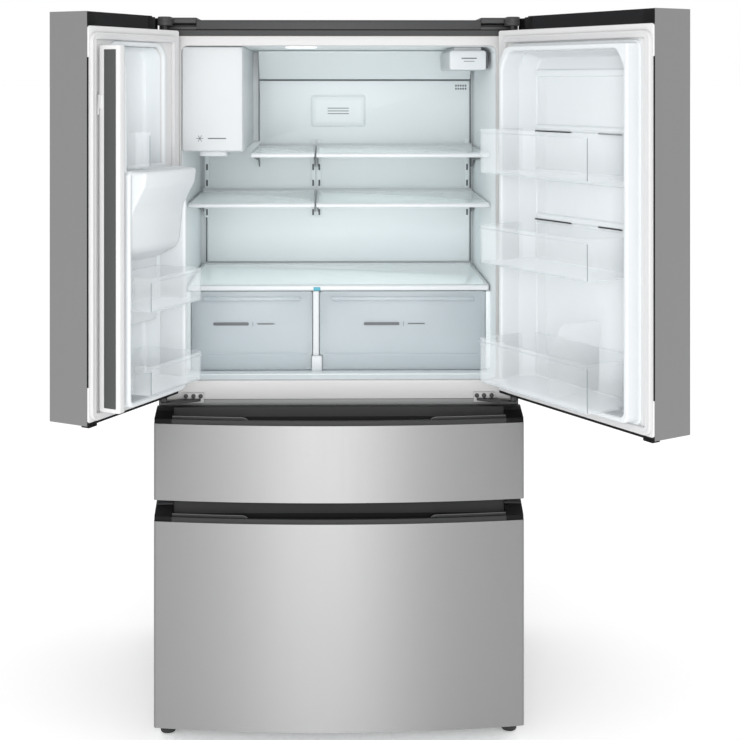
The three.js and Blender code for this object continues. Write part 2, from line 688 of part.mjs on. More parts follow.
// ---- Drawers ----
// d holds the heights of the front, its trim and its rail, and the size of the bin behind it.
function drawer(name, d, binName) {
  add(root, `${name}_front_skin`, skin(-HALF, HALF, DRAWER_EDGE, -13, d.low, d.high), STEEL);

  // The handle: a dark trim along the top, scooped out for the fingers.
  const handleLow = d.high - 40;
  const capTop = d.high + 12;
  const body = fill(-HALF, HALF, DRAWER_EDGE, -13, handleLow, capTop, SKIN + FIT);
  const cap = fill(-HALF, HALF, DRAWER_EDGE, -13, d.high + FIT, capTop, 0.3);
  const tail = box(-HALF + 2, HALF - 2, -44, -13, handleLow, d.trimHigh);
  const slope = [
    [-48, d.high - 26],
    [-26, d.trimHigh + 2],
    [-200, d.trimHigh + 2],
    [-200, capTop],
    [-104, d.high + 2],
    [-92, d.high - 26],
  ];
  const scoop = prism("x", slope, -410, 410);
  add(root, `${name}_handle`, cut(join(body, cap, tail), scoop), DARK);

  // The inner panel, with a raised field, a pocket and the two slide arms.
  const railTop = d.rail + RAIL.height;
  const arms = [-1, 1].map((s) => sideBox(s, RAIL.inner, RAIL.outer, -14, ARM_END, d.rail, railTop));
  const panel = join(
    box(-HALF + 3, HALF - 3, -78, -12.7, d.low + 1, handleLow - 1),
    box(-HALF + 1, HALF - 1, -12.6, DOOR_BACK, d.low + 1, d.trimHigh - 4),
    box(-390, 390, -11, -0.8, d.low + 26, d.high - 10),
    ...arms,
  );
  const pocket = box(-374, 374, -3, 50, d.low + 60, d.high - 20);
  add(root, `${name}_inner_panel`, cut(panel, pocket), WHITE);

  // The bin, hung from the arms by a flange along each side.
  const flanges = [-1, 1].map((s) =>
    sideBox(s, 370, 388, 20, d.binBack - 20, railTop + FIT, railTop + 2.5),
  );
  const bin = tray(-372, 372, 4, d.binBack, d.binLow, d.binHigh, 3);
  add(root, binName, join(bin, ...flanges), CRISPER);
}

function drawers() {
  drawer("flex", { ...FLEX, rail: RAIL.flex }, "flex_bin");
  drawer("freezer", { ...FREEZER, rail: RAIL.freezer }, "freezer_basket");
  const { binHigh } = FREEZER;
  add(root, "freezer_upper_basket", tray(-371, 371, 8, 290, binHigh + FIT, 480, 3), CRISPER);
}

cabinet();
liners();
interior();
machinery();
leftDoor();
rightDoor();
drawers();

// The origin is the middle of the footprint, on the floor.
const bounds = new THREE.Box3().setFromObject(root, true);
const middle = bounds.getCenter(new THREE.Vector3());
root.position.set(-middle.x, -middle.y, -bounds.min.z);

export default root;
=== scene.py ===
"""Looks of the french door refrigerator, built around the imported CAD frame.

Shapes are drawn in millimetres in the cabinet's own frame: X = 0 on its mid-plane, Y = 0 on the front
of its flanges (+Y to the rear) and Z = 0 on the floor. Door pieces are drawn with the door closed.
CABINET, LEFT and RIGHT turn those millimetres into metres in the frame, with the doors as at rest,
and PLACES says which one a body takes.
"""
import json
import math

import bmesh
import bpy
from mathutils import Matrix, Vector


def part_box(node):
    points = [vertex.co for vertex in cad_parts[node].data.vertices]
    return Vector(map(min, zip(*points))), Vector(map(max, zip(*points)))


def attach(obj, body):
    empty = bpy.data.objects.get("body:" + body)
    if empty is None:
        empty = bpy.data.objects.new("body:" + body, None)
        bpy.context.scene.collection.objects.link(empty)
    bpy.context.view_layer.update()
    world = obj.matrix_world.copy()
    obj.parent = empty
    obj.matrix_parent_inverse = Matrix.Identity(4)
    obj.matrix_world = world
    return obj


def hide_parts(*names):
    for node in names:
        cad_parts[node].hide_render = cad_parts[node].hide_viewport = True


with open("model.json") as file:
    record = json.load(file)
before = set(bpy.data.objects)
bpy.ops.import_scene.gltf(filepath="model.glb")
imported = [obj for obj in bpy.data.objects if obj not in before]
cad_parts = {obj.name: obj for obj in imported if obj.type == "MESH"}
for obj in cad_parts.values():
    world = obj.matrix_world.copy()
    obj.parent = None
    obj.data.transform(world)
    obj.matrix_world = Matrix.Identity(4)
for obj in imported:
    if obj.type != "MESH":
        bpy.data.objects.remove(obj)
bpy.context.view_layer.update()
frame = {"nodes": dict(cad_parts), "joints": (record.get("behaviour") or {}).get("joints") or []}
NODES = frame["nodes"]

# ---- The frame's places ----
MM = 0.001
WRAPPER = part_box("cabinet_wrapper")
CABINET = Matrix.Translation(((WRAPPER[0].x + WRAPPER[1].x) / 2, WRAPPER[0].y, 0)) @ Matrix.Scale(MM, 4)
PIVOT_Y = -40
PIVOT = {"left": (-432, PIVOT_Y), "right": (432, PIVOT_Y)}


def joint_range(name):
    return next(j for j in frame["joints"] if j["name"] == name)["range_deg"]


def door_matrix(side, degrees):
    x, y = PIVOT[side]
    turn = Matrix.Rotation(math.radians(degrees), 4, "Z")
    return CABINET @ Matrix.Translation((x, y, 0)) @ turn @ Matrix.Translation((-x, -y, 0))


LEFT = door_matrix("left", joint_range("left_door_swing")[0])
RIGHT = door_matrix("right", -joint_range("right_door_swing")[0])
PLACES = {"left_door": LEFT, "mullion": LEFT, "paddle": LEFT, "right_door": RIGHT}

# ---- Sizes, in millimetres, as in the CAD model ----
HALF = 454  # half the width of the fronts
IN = 396  # half the width inside
FLOOR = 885
CEILING = 1725
REAR = 553
DOOR_LOW = 861
DOOR_HIGH = 1794
LINER_HIGH = 1761.5
DOOR_BACK = -10  # inner face of the closed doors
DOOR_EDGE = 93  # how far the fronts stand out at their sides
DRAWER_EDGE = 83
BOW = 32  # and how much further at the middle
SKIN = 1.5
SPLIT_LEFT = -89.7  # free edges of the closed doors
SPLIT_RIGHT = -84.8
RECESS = -62  # back of the recess in the doors
LEFT_DYKE = 56  # how far the raised walls reach in
RIGHT_DYKE = 40
RIGHT_FREE_DYKE = 27
CAP_NOTCH = 340  # the door tops are notched from here to the hinge
BIN_GAP = 2
BIN_FRONT = 106
SHELF_FRONT = 114
SHELF_REAR = 528
SHELF_UPPER = 1450
SHELF_LOWER = 1320
COVER_TOP = 1107
NICHE = (-345, -185, 1075, 1400)  # x and z of the dispenser's niche
NICHE_DEPTH = -34.4
TOWER_SIDES = (-375.6, -164.4)
FACE_LOW = 868
SEAL_LOW = 870
SEAL_HIGH = 1748
# The rounded edge of the doors' inner face, as (inset, y).
FACE_PATH = [(0, -80), (0, -12.4), (0.4, -11), (1.3, -10.2), (2.6, DOOR_BACK)]
HINGE_TOP = 1796
CAP_LOW = 1766
CRISPER_TOP = 1091
DUCT_FRONT = 541  # the panel on the rear wall
DUCT_LOW = 1112
DUCT_LEFT = -226
DUCT_RIGHT = 386
DUCT_STEP = (-378, 1462)  # x and z of its wider lower part
ICE_CHUTE = (-352, -288, 60, 130)
ICE_RIGHT = -242
POCKET_HALF = 409
LEDGE_END = 224  # inner end of the handle ledges


# ---- Outlines ----
def rect(a0, a1, b0, b1):
    return [(a0, b0), (a1, b0), (a1, b1), (a0, b1)]


def ordered(corners):
    """The corners anticlockwise."""
    area = sum(p[0] * q[1] - q[0] * p[1] for p, q in zip(corners, corners[1:] + corners[:1]))
    return corners if area > 0 else corners[::-1]


def mirrored(s, a, b):
    """The range from a to b on side s, where -1 is the left and 1 the right."""
    return sorted((s * a, s * b))


def turn_between(before, here, after):
    """Unit directions into and out of a corner, their left-hand normals and the signed turn."""
    into = (Vector(here) - Vector(before)).normalized()
    out = (Vector(after) - Vector(here)).normalized()
    turn = math.atan2(into.x * out.y - into.y * out.x, into.dot(out))
    return into, out, Vector((-into.y, into.x)), Vector((-out.y, out.x)), turn


def corner_arc(corner, normal, bisector, radius, turn, steps):
    side = 1 if turn > 0 else -1
    centre = corner + bisector * radius * side
    spoke = -normal * radius * side
    arc = []
    for k in range(steps + 1):
        a = turn * k / steps
        arc.append((
            centre.x + spoke.x * math.cos(a) - spoke.y * math.sin(a),
            centre.y + spoke.x * math.sin(a) + spoke.y * math.cos(a),
        ))
    return arc


def outline(corners, radii, inset=0.0, steps=5):
    """An anticlockwise polygon moved inwards by inset, with its corners rounded."""
    count = len(corners)
    if not hasattr(radii, "__len__"):
        radii = [radii] * count
    points = []
    for i, radius in enumerate(radii):
        _, _, n1, n2, turn = turn_between(corners[i - 1], corners[i], corners[(i + 1) % count])
        bisector = (n1 + n2) / (1 + n1.dot(n2))
        corner = Vector(corners[i]) + bisector * inset
        r = max(radius - inset, 0.15) if turn > 0 else radius + inset
        points += corner_arc(corner, n1, bisector, r, turn, steps)
    return points


def soften(path, radius, steps=3):
    """An open path of (inset, level) with its corners rounded; a third value overrides the radius."""
    result = [path[0][:2]]
    for before, here, after in zip(path, path[1:], path[2:]):
        r = here[2] if len(here) > 2 else radius
        into, out, n1, n2, turn = turn_between(before[:2], here[:2], after[:2])
        if abs(turn) < 0.02 or r <= 0:
            result.append(here[:2])
            continue
        bisector = (n1 + n2) / (1 + n1.dot(n2))
        reach = r * math.tan(abs(turn) / 2)
        room = 0.48 * min((Vector(here[:2]) - Vector(before[:2])).length,
                          (Vector(after[:2]) - Vector(here[:2])).length)
        if reach > room:
            r *= room / reach
        result += corner_arc(Vector(here[:2]), n1, bisector, r, turn, steps)
    result.append(path[-1][:2])
    return result


# ---- Shapes: each is (points, faces) ----
def place(axis, a, b, level):
    return {"x": (level, a, b), "y": (a, level, b), "z": (a, b, level)}[axis]


def loft(axis, sections, closed=False):
    """A skin over sections (points, level) with equal counts; capped at both ends unless it is closed."""
    count = len(sections[0][0])
    points = [place(axis, a, b, level) for line, level in sections for a, b in line]
    faces = []
    last = len(sections) if closed else len(sections) - 1
    for s in range(last):
        low = s * count
        high = ((s + 1) % len(sections)) * count
        for i in range(count):
            j = (i + 1) % count
            faces.append([low + i, low + j, high + j, high + i])
    if not closed:
        faces.append(list(range(count))[::-1])
        faces.append([(len(sections) - 1) * count + i for i in range(count)])
    return points, faces


def sections(corners, radii, path, steps=5):
    return [(outline(corners, radii, inset, steps), level) for inset, level in path]


def moulded(axis, corners, radii, path, closed=False, steps=5):
    return loft(axis, sections(corners, radii, path, steps), closed)


def slab_path(low, high, edge, steps=3):
    path = []
    for k in range(steps + 1):
        a = math.pi / 2 * k / steps
        path.append((edge * (1 - math.sin(a)), low + edge * (1 - math.cos(a))))
    return path + [(inset, high - (level - low)) for inset, level in reversed(path)]


def bar(axis, corners, low, high, radii=2.0, edge=1.0, steps=5):
    """A prism of the outline with rounded corners and softened ends."""
    return moulded(axis, corners, radii, slab_path(low, high, edge), steps=steps)


def block(x0, x1, y0, y1, z0, z1, r=2.0):
    return bar("z", rect(x0, x1, y0, y1), z0, z1, r, r, steps=3)


def circle(centre, radius, sides):
    return [(centre[0] + radius * math.cos(2 * math.pi * i / sides),
             centre[1] + radius * math.sin(2 * math.pi * i / sides)) for i in range(sides)]


def turned(axis, centre, profile, sides=28):
    """A turned piece: its profile is (radius, level)."""
    return loft(axis, [(circle(centre, radius, sides), level) for radius, level in profile])


def ribbon(outer, inner, low, high):
    """A folded sheet between two lines of equal length, standing from low to high."""
    n = len(outer)
    points = [(x, y, z) for z in (low, high) for line in (outer, inner) for x, y in line]
    faces = []
    for i in range(n - 1):
        o, p = i, i + 1
        faces.append([o, p, p + n, o + n])
        faces.append([o + 2 * n, p + 2 * n, p + 3 * n, o + 3 * n])
        faces.append([o, p, p + 2 * n, o + 2 * n])
        faces.append([o + n, p + n, p + 3 * n, o + 3 * n])
    for o in (0, n - 1):
        faces.append([o, o + n, o + 3 * n, o + 2 * n])
    return points, faces


def merge(*shapes):
    points = []
    faces = []
    for some_points, some_faces in shapes:
        base = len(points)
        points += list(some_points)
        faces += [[i + base for i in face] for face in some_faces]
    return points, faces


def mesh_of(name, shape, matrix=None):
    mesh = bpy.data.meshes.new(name)
    points = [Vector(p) for p in shape[0]]
    if matrix is not None:
        points = [matrix @ p for p in points]
    mesh.from_pydata(points, [], shape[1])
    bm = bmesh.new()
    bm.from_mesh(mesh)
    bmesh.ops.recalc_face_normals(bm, faces=bm.faces)
    bm.to_mesh(mesh)
    bm.free()
    return mesh


def new_object(name, data):
    obj = bpy.data.objects.new(name, data)
    bpy.context.scene.collection.objects.link(obj)
    return obj


def combine(operation, shape, *others):
    """shape with the others cut away or added, by the exact boolean."""
    base = new_object("work", mesh_of("work", shape))
    tools = []
    for other in others:
        tool = new_object("tool", mesh_of("tool", other))
        modifier = base.modifiers.new("cut", "BOOLEAN")
        modifier.operation = operation
        modifier.solver = "EXACT"
        modifier.object = tool
        tools.append(tool)
    bpy.context.view_layer.update()
    result = base.evaluated_get(bpy.context.evaluated_depsgraph_get()).to_mesh()
    points = [tuple(v.co) for v in result.vertices]
    faces = [list(p.vertices) for p in result.polygons]
    for obj in tools + [base]:
        data = obj.data
        bpy.data.objects.remove(obj)
        bpy.data.meshes.remove(data)
    return points, faces


def carve(shape, *cutters):
    return combine("DIFFERENCE", shape, *cutters)


def unite(shape, *others):
    return combine("UNION", shape, *others)


def piece(name, body, look, shape, replaces=(), bevel=0.0):
    """One visible object, riding on a body and drawn in that body's place."""
    mesh = mesh_of(name, shape, PLACES.get(body, CABINET))
    mesh.shade_smooth()
    mesh.set_sharp_from_angle(angle=math.radians(32))
    mesh.materials.append(look)
    obj = new_object(name, mesh)
    if bevel:
        modifier = obj.modifiers.new("soft_edges", "BEVEL")
        modifier.width = bevel * MM
        modifier.segments = 2
        modifier.limit_method = "ANGLE"
        modifier.angle_limit = math.radians(40)
        modifier.harden_normals = True
    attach(obj, body)
    if replaces:
        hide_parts(*replaces)
    return obj


def fixed(name, look, shape, replaces=()):
    return piece(name, "cabinet", look, shape, replaces)


# ---- Materials ----
def node(tree, kind, **values):
    made = tree.nodes.new(kind)
    for key, value in values.items():
        if key in made.inputs:
            made.inputs[key].default_value = value
        else:
            setattr(made, key, value)
    return made


def noise(tree, scale, stretch=(1, 1, 1), detail=3.0, roughness=0.55):
    coordinates = node(tree, "ShaderNodeTexCoord")
    mapping = node(tree, "ShaderNodeMapping", Scale=stretch)
    texture = node(tree, "ShaderNodeTexNoise", Scale=scale, Detail=detail, Roughness=roughness)
    tree.links.new(coordinates.outputs["Object"], mapping.inputs["Vector"])
    tree.links.new(mapping.outputs["Vector"], texture.inputs["Vector"])
    return texture.outputs["Fac"]


def spread(tree, value, low, high):
    levels = {"From Min": 0.3, "From Max": 0.7, "To Min": low, "To Max": high}
    ramp = node(tree, "ShaderNodeMapRange", **levels)
    tree.links.new(value, ramp.inputs["Value"])
    return ramp.outputs["Result"]


def tint(tree, value, dark, light):
    mix = node(tree, "ShaderNodeMix", data_type="RGBA")
    tree.links.new(value, mix.inputs["Factor"])
    mix.inputs[6].default_value = (*dark, 1)
    mix.inputs[7].default_value = (*light, 1)
    return mix.outputs[2]


def look(name, color, roughness, swing=0.06, shade=0.05, scale=40, stretch=(1, 1, 1), bump=0.0,
         bump_scale=900, **constants):
    """A plastic, paint or metal: colour and roughness vary by noise, with a fine grain as bump."""
    material = bpy.data.materials.new(name)
    material.use_nodes = True
    tree = material.node_tree
    shader = tree.nodes["Principled BSDF"]
    for key, value in constants.items():
        shader.inputs[key.replace("_", " ")].default_value = value
    field = noise(tree, scale, stretch)
    dark = [c * (1 - shade) for c in color]
    light = [min(c * (1 + shade), 1) for c in color]
    tree.links.new(tint(tree, field, dark, light), shader.inputs["Base Color"])
    tree.links.new(spread(tree, field, roughness - swing, roughness + swing), shader.inputs["Roughness"])
    if bump:
        grain = node(tree, "ShaderNodeBump", Strength=bump, Distance=0.0004)
        tree.links.new(noise(tree, bump_scale, stretch, 2.0), grain.inputs["Height"])
        tree.links.new(grain.outputs["Normal"], shader.inputs["Normal"])
    return material


def clear(name, color, roughness, face, edge, sharpness=0.35, **constants):
    """A clear plastic or glass: nearly open face on, and denser where it is seen along its surface."""
    material = look(name, color, roughness, 0.01, 0.004, 220, **constants)
    tree = material.node_tree
    facing = node(tree, "ShaderNodeLayerWeight", Blend=sharpness)
    ramp = node(tree, "ShaderNodeMapRange", **{"To Min": face, "To Max": edge})
    tree.links.new(facing.outputs["Facing"], ramp.inputs["Value"])
    tree.links.new(ramp.outputs["Result"], tree.nodes["Principled BSDF"].inputs["Alpha"])
    return material


def plastic(name, color, roughness, shade, bump, bump_scale, specular):
    return look(name, color, roughness, 0.04, shade, 300, bump=bump, bump_scale=bump_scale,
                Specular_IOR_Level=specular)


def white(name, color, roughness, bump, specular=0.3):
    return look(name, color, roughness, 0.015, 0.004, 320, bump=bump, bump_scale=900,
                Specular_IOR_Level=specular)


STEEL = look("brushed_stainless", (0.32, 0.32, 0.322), 0.5, 0.02, 0.02, 1.0, (700, 700, 3), 0.02, 1.0,
             Metallic=1.0, Anisotropic=0.85, Anisotropic_Rotation=0.25)
PAINT = plastic("cabinet_paint", (0.046, 0.047, 0.048), 0.5, 0.03, 0.10, 1400, 0.2)
DARK = plastic("charcoal_plastic", (0.016, 0.0162, 0.017), 0.48, 0.05, 0.08, 1600, 0.2)
CAP = plastic("door_cap_plastic", (0.010, 0.0102, 0.011), 0.5, 0.05, 0.08, 1600, 0.1)
# DARKER is black plastic, also used as painted shade on the handles' slope and the doors' free edges.
DARKER = plastic("black_plastic_and_painted_shade", (0.006, 0.006, 0.0065), 0.5, 0.05, 0.06, 1500, 0.1)
# BAND is grey plastic, also used as painted shade in the slots of the right door's ledges.
BAND = plastic("grey_plastic_and_painted_shade", (0.043, 0.0435, 0.045), 0.48, 0.04, 0.08, 1600, 0.25)
LIP = plastic("handle_lip_plastic", (0.026, 0.0262, 0.027), 0.48, 0.04, 0.08, 1600, 0.2)
# LEDGE_HIGHLIGHT is a lighter grey for the ledges' top edge: painted highlight.
LEDGE_HIGHLIGHT = look("handle_ledge_painted_highlight", (0.10, 0.10, 0.102), 0.4, 0.04, 0.04, 300, Specular_IOR_Level=0.3)
# Nearly one white plastic, in copies of different brightness: painted light and shade. Each copy is made
# lighter or darker so that its region comes out as bright as wanted under these lamps. LEFT_WHITE is a
# lighter copy of DOOR_WHITE for the left door's recess, which lies more in shade, and RIM, ICE_WHITE and
# PURE are darker copies for surfaces that face the lamps. FLANGE's grey is partly painted shade.
WHITE = white("white_liner", (0.765, 0.81, 0.825), 0.36, 0.02, 0.35)
PURE = white("white_trim_painted_darker", (0.65, 0.675, 0.695), 0.34, 0.015, 0.35)
SIDE = white("white_room", (0.82, 0.86, 0.875), 0.36, 0.02, 0.35)
DOOR_WHITE = white("white_door_liner", (0.66, 0.69, 0.705), 0.38, 0.02)
DOOR_RIM = white("white_door_rim", (0.61, 0.635, 0.65), 0.36, 0.015)
RIM = white("white_cabinet_rim_painted_darker", (0.54, 0.537, 0.537), 0.42, 0.015)
LEFT_WHITE = white("white_left_recess_painted_lighter", (0.70, 0.73, 0.745), 0.38, 0.02)
ICE_WHITE = white("white_ice_box_painted_darker", (0.55, 0.57, 0.58), 0.4, 0.015)
FLANGE = white("grey_white_liner_partly_painted_shade", (0.60, 0.60, 0.602), 0.45, 0.02)
SEAL = look("door_seal", (0.55, 0.55, 0.555), 0.62, 0.03, 0.01, 400, bump=0.05, bump_scale=1200,
            Specular_IOR_Level=0.2)
PLATE = look("mullion_plate", (0.062, 0.065, 0.063), 0.5, 0.03, 0.03, 300, bump=0.08, bump_scale=1500,
             Specular_IOR_Level=0.25)
COATED = look("coated_steel", (0.23, 0.232, 0.234), 0.5, 0.04, 0.03, 300, Specular_IOR_Level=0.3)
LIGHT_STEEL = look("plated_steel", (0.42, 0.42, 0.42), 0.45, 0.04, 0.03, 300, Specular_IOR_Level=0.3)
# EDGE and FAINT draw lines on the clear bins' corners and edges: painted shade and light for what the clear
# plastic does to light there.
EDGE = look("clear_plastic_painted_corner_shade", (0.22, 0.25, 0.27), 0.3, 0.03, 0.03, 300)
FAINT = look("clear_plastic_painted_edge_lines", (0.44, 0.49, 0.53), 0.3, 0.03, 0.02, 300)
ZINC = look("zinc_steel", (0.36, 0.36, 0.36), 0.36, 0.06, 0.05, 300, Metallic=0.9)
# SHADOW is painted shadow: a dark grey put in gaps, slots and openings where there is only shade.
SHADOW = look("painted_gap_shadow", (0.095, 0.105, 0.115), 0.6, 0.03, 0.05, 300)
MARK = look("printed_grey", (0.11, 0.115, 0.125), 0.5, 0.03, 0.04, 300)
FOAM = look("insulation", (0.75, 0.68, 0.45), 0.9, 0.05, 0.1, 120, bump=0.5, bump_scale=300)
RUBBER = look("black_rubber", (0.02, 0.02, 0.021), 0.7, 0.08, 0.1, 120, bump=0.15, bump_scale=900)
IRON = look("black_enamel", (0.015, 0.015, 0.016), 0.3, 0.08, 0.1, 40, bump=0.05)
ALUMINIUM = look("bare_aluminium", (0.72, 0.73, 0.75), 0.32, 0.1, 0.06, 60, Metallic=1.0)
GLOSS = look("black_glass", (0.008, 0.008, 0.01), 0.08, 0.02, 0.05, 40)
TEAL = look("teal_tab", (0.05, 0.33, 0.42), 0.4, 0.04, 0.05, 60)
LAMP = look("lamp_lens", (0.95, 0.97, 1.0), 0.25, 0.03, 0.01, 300, Emission_Strength=0.2,
            Emission_Color=(1, 1, 1, 1))
CLEAR = clear("clear_bin", (0.88, 0.92, 0.94), 0.08, 0.025, 1.25, 0.13)
FROSTED = clear("frosted_crisper", (0.60, 0.665, 0.70), 0.26, 0.42, 0.92, 0.45)
# GLASS and COVER_GLASS give off a faint light of their own, though they are no lamp: a painted glow that
# lightens the shelves.
GLASS = clear("shelf_glass", (0.93, 1.0, 1.0), 0.06, 0.30, 0.85, Emission_Strength=0.07,
              Emission_Color=(0.9, 1, 1, 1))
COVER_GLASS = clear("crisper_cover_glass_painted_glow", (0.93, 0.99, 1.0), 0.1, 0.80, 0.95, Emission_Strength=0.13,
                    Emission_Color=(0.9, 1, 1, 1))


# ---- Fronts ----
def front_y(x, edge):
    return -(edge + BOW * (1 - (x / HALF) ** 2))


def front_line(x0, x1, edge, t, turns=6, steps=56):
    """The bowed front from x0 to x1 with its rounded vertical edges, inset by t."""
    corner = 7
    r = corner - t
    line = []
    for i in range(turns + 1):
        a = math.pi / 2 * i / turns
        line.append((x0 + corner - r * math.cos(a), front_y(x0 + corner, edge) + corner - r * math.sin(a)))
    for i in range(1, steps):
        x = x0 + corner + (x1 - x0 - 2 * corner) * i / steps
        line.append((x, front_y(x, edge) + t))
    for i in range(turns, -1, -1):
        a = math.pi / 2 * i / turns
        line.append((x1 - corner + r * math.cos(a), front_y(x1 - corner, edge) + corner - r * math.sin(a)))
    return line


def bowed(x0, x1, section, radii, steps=28):
    """A bar along X whose section (y, z) is asked for at each x, so that it can follow the bow."""
    made = []
    for i in range(steps + 1):
        x = x0 + (x1 - x0) * i / steps
        made.append((outline(section(x), radii, 0, 3), x))
    return loft("x", made)


def skin(x0, x1, edge, back, z0, z1):
    outer = [(x0, back)] + front_line(x0, x1, edge, 0) + [(x1, back)]
    inner = [(x0 + SKIN, back)] + front_line(x0, x1, edge, SKIN) + [(x1 - SKIN, back)]
    return ribbon(outer, inner, z0, z1)


def fill(x0, x1, edge, back, z0, z1, t, soft=1.0):
    """What fills the space behind a skin, with softened upper and lower edges."""
    levels = [(soft, z0), (0.3 * soft, z0 + 0.3 * soft), (0, z0 + soft)]
    levels += [(0, z1 - soft), (0.3 * soft, z1 - 0.3 * soft), (soft, z1)]
    made = []
    for inset, z in levels:
        line = front_line(x0, x1, edge, t + inset)
        made.append(([(x0 + t + inset, back)] + line + [(x1 - t - inset, back)], z))
    return loft("z", made)


# ---- Doors ----
def tray_path(z0, z1, wall=2.4, draft=2.5, rim=8, floor=3, foot=5):
    """The section of a moulded tray: outside up, a thicker rim, and inside down."""
    outside = [(draft + foot + 3, z0), (draft, z0, foot), (1.2, z1 - rim, 0.6), (0, z1 - rim + 1, 0.6),
               (0, z1, 1.1)]
    inside = [(wall + 1.6, z1, 1.1), (wall + 1.6, z1 - rim + 2, 0.8), (wall + draft, z0 + floor, foot)]
    return soften(outside + inside + [(wall + draft + foot + 3, z0 + floor)], 1.0)


def gasket(x0, x1, z0, z1):
    profile = [(0, -9.6), (0.3, -5), (0.8, -3), (2.4, -1.4), (7.0, -0.8), (8.2, -1.3), (9.8, -1.3),
               (11, -0.8), (15.6, -1.4), (17.2, -3), (17.7, -5), (18, -9.6)]
    return moulded("y", rect(x0, x1, z0, z1), 22, profile, closed=True, steps=8)


def door_common(side, x0, x1, skin_shape):
    body = f"{side}_door"
    s = -1 if side == "left" else 1
    free = x1 if side == "left" else x0
    corner = bar("z", rect(*mirrored(s, CAP_NOTCH, 470), -75, 5), 1760, DOOR_HIGH + 6, 4, 0.5)
    skin_shape = carve(skin_shape, corner)
    piece(f"{side}_door_steel", body, STEEL, skin_shape, [f"{side}_door_skin"])
    NODES[f"{side}_door_frame"].data.materials[0] = CAP

    # A dark strip on the free edge, painted shade standing for a finger groove there, and the foot and cap
    # mouldings at its ends.
    edge = rect(min(free, free + s * 1.2) - 0.2, max(free, free + s * 1.2) + 0.2, 948, 1690)
    piece(f"{side}_door_edge_groove_shade", body, DARKER, bar("y", edge, -14.5, DOOR_BACK - 0.4, 0.6, 0.3))
    ends = []
    for low, high in (sorted((free, free + s * 34)), mirrored(s, CAP_NOTCH - 14, CAP_NOTCH + 11)):
        ends.append(block(low, high, -13.4, -11.6, LINER_HIGH + 1.5, DOOR_HIGH - 3, 0.6))
    piece(f"{side}_door_cap_ends", body, DARKER, merge(*ends))
    foot = sorted((free + s * 4, free + s * 34))
    piece(f"{side}_door_stop", body, DARKER, block(*foot, -34, -11, DOOR_LOW - 5, DOOR_LOW + 2, 2))


def door_border(side, corners, radii, steps):
    """The low ridge around the recess, inside the seal."""
    path = soften([(0, DOOR_BACK + 0.1), (0.6, -6.5, 2), (5, -5, 2), (9, -6, 2), (12, -11)], 1.5, 3)
    ridge = moulded("y", corners, radii, path + [(6, -12.5)], closed=True, steps=steps)
    piece(f"{side}_door_border", f"{side}_door", DOOR_RIM, ridge)


def niche_room():
    """The room that the dispenser's niche takes behind the lining and in the tower."""
    low_x, high_x, low_z, high_z = NICHE
    room = rect(low_x - 0.5, high_x + 0.5, low_z - 0.5, high_z + 0.5)
    return bar("y", room, -90, NICHE_DEPTH + 0.4, 2, 0.5)


def left_door():
    body = "left_door"
    x0 = -HALF + 1
    x1 = SPLIT_LEFT
    hole = bar("y", rect(*NICHE), -200, 20, 12, 0.5)
    door_common("left", x0, x1, carve(skin(x0, x1, DOOR_EDGE, -14, DOOR_LOW, DOOR_HIGH), hole))

    recess = rect(-376, -164, 905, 1718)
    radii = [26, 26, 34, 34]
    inside = [(-7, DOOR_BACK), (-1, DOOR_BACK, 5), (2, -30, 8), (5, RECESS, 16), (26, RECESS)]
    lining = [(26, RECESS + 1), (7, RECESS + 1), (3, -40), (1.8, -13)]
    lining += soften([(2.4, -13), (3.2, -30, 8), (6.2, RECESS + 2.4, 16), (27, RECESS + 2.4)], 3, 5)
    face = loft("y", sections(rect(x0 + 1, x1 - 1, FACE_LOW, LINER_HIGH), 6, FACE_PATH, 8)
                + sections(recess, radii, soften(inside, 3, 5), 8))
    piece("left_door_inner_face", body, FLANGE, carve(face, niche_room()), ["left_door_liner"])

    top = LEFT_DYKE
    wall = soften([(-7, DOOR_BACK + 0.1), (-1, -6, 5), (0, top - 6), (2, top, 4), (10, top, 4),
                   (12, top - 6), (12.6, -30)], 2.5, 4)
    piece("left_door_raised_wall", body, DOOR_RIM,
          moulded("y", rect(-388, -152, 893, 1432), [22, 22, 14, 14], wall, closed=True, steps=8))
    rib = bar("x", [(-14, 1425), (43, 1425), (43, 1672), (16, 1706), (-14, 1706)], -164, -152,
              [2, 6, 26, 16, 2], 4, steps=6)
    piece("left_door_side_rib", body, DOOR_RIM, rib)
    door_border("left", rect(-390, -150, 1405, 1729.4), [4, 4, 42, 42], 8)
    piece("left_door_seal", body, SEAL, gasket(-434, x1 - 3, SEAL_LOW, SEAL_HIGH), ["left_door_gasket"])
    # The recess lining is a lighter copy of the door white: painted light.
    piece("left_door_backing", body, LEFT_WHITE,
          carve(moulded("y", recess, radii, lining, steps=8), niche_room()))
    dispenser_tower()
    dispenser_front(x0, x1)
    left_bins()
    mullion()


def dispenser_tower():
    corners = [(RECESS + 3, 1213), (-14, 1213), (42, 1243), (53, 1337), (87, 1394), (94.5, 1430),
               (RECESS + 3, 1430)]
    tower = bar("x", corners, *TOWER_SIDES, [2, 24, 34, 70, 30, 9, 2], 7, steps=8)
    chute = bar("z", rect(-340, -296, 20, 60), 1395, 1445, 10, 0.5)
    tower = carve(tower, chute, niche_room())
    lower = bar("y", rect(*TOWER_SIDES, 1058, 1222), RECESS + 3, -22, 10, 5, steps=6)
    lower = carve(lower, niche_room())
    piece("dispenser_tower_cover", "left_door", DOOR_RIM, merge(tower, lower), ["dispenser_tower"])


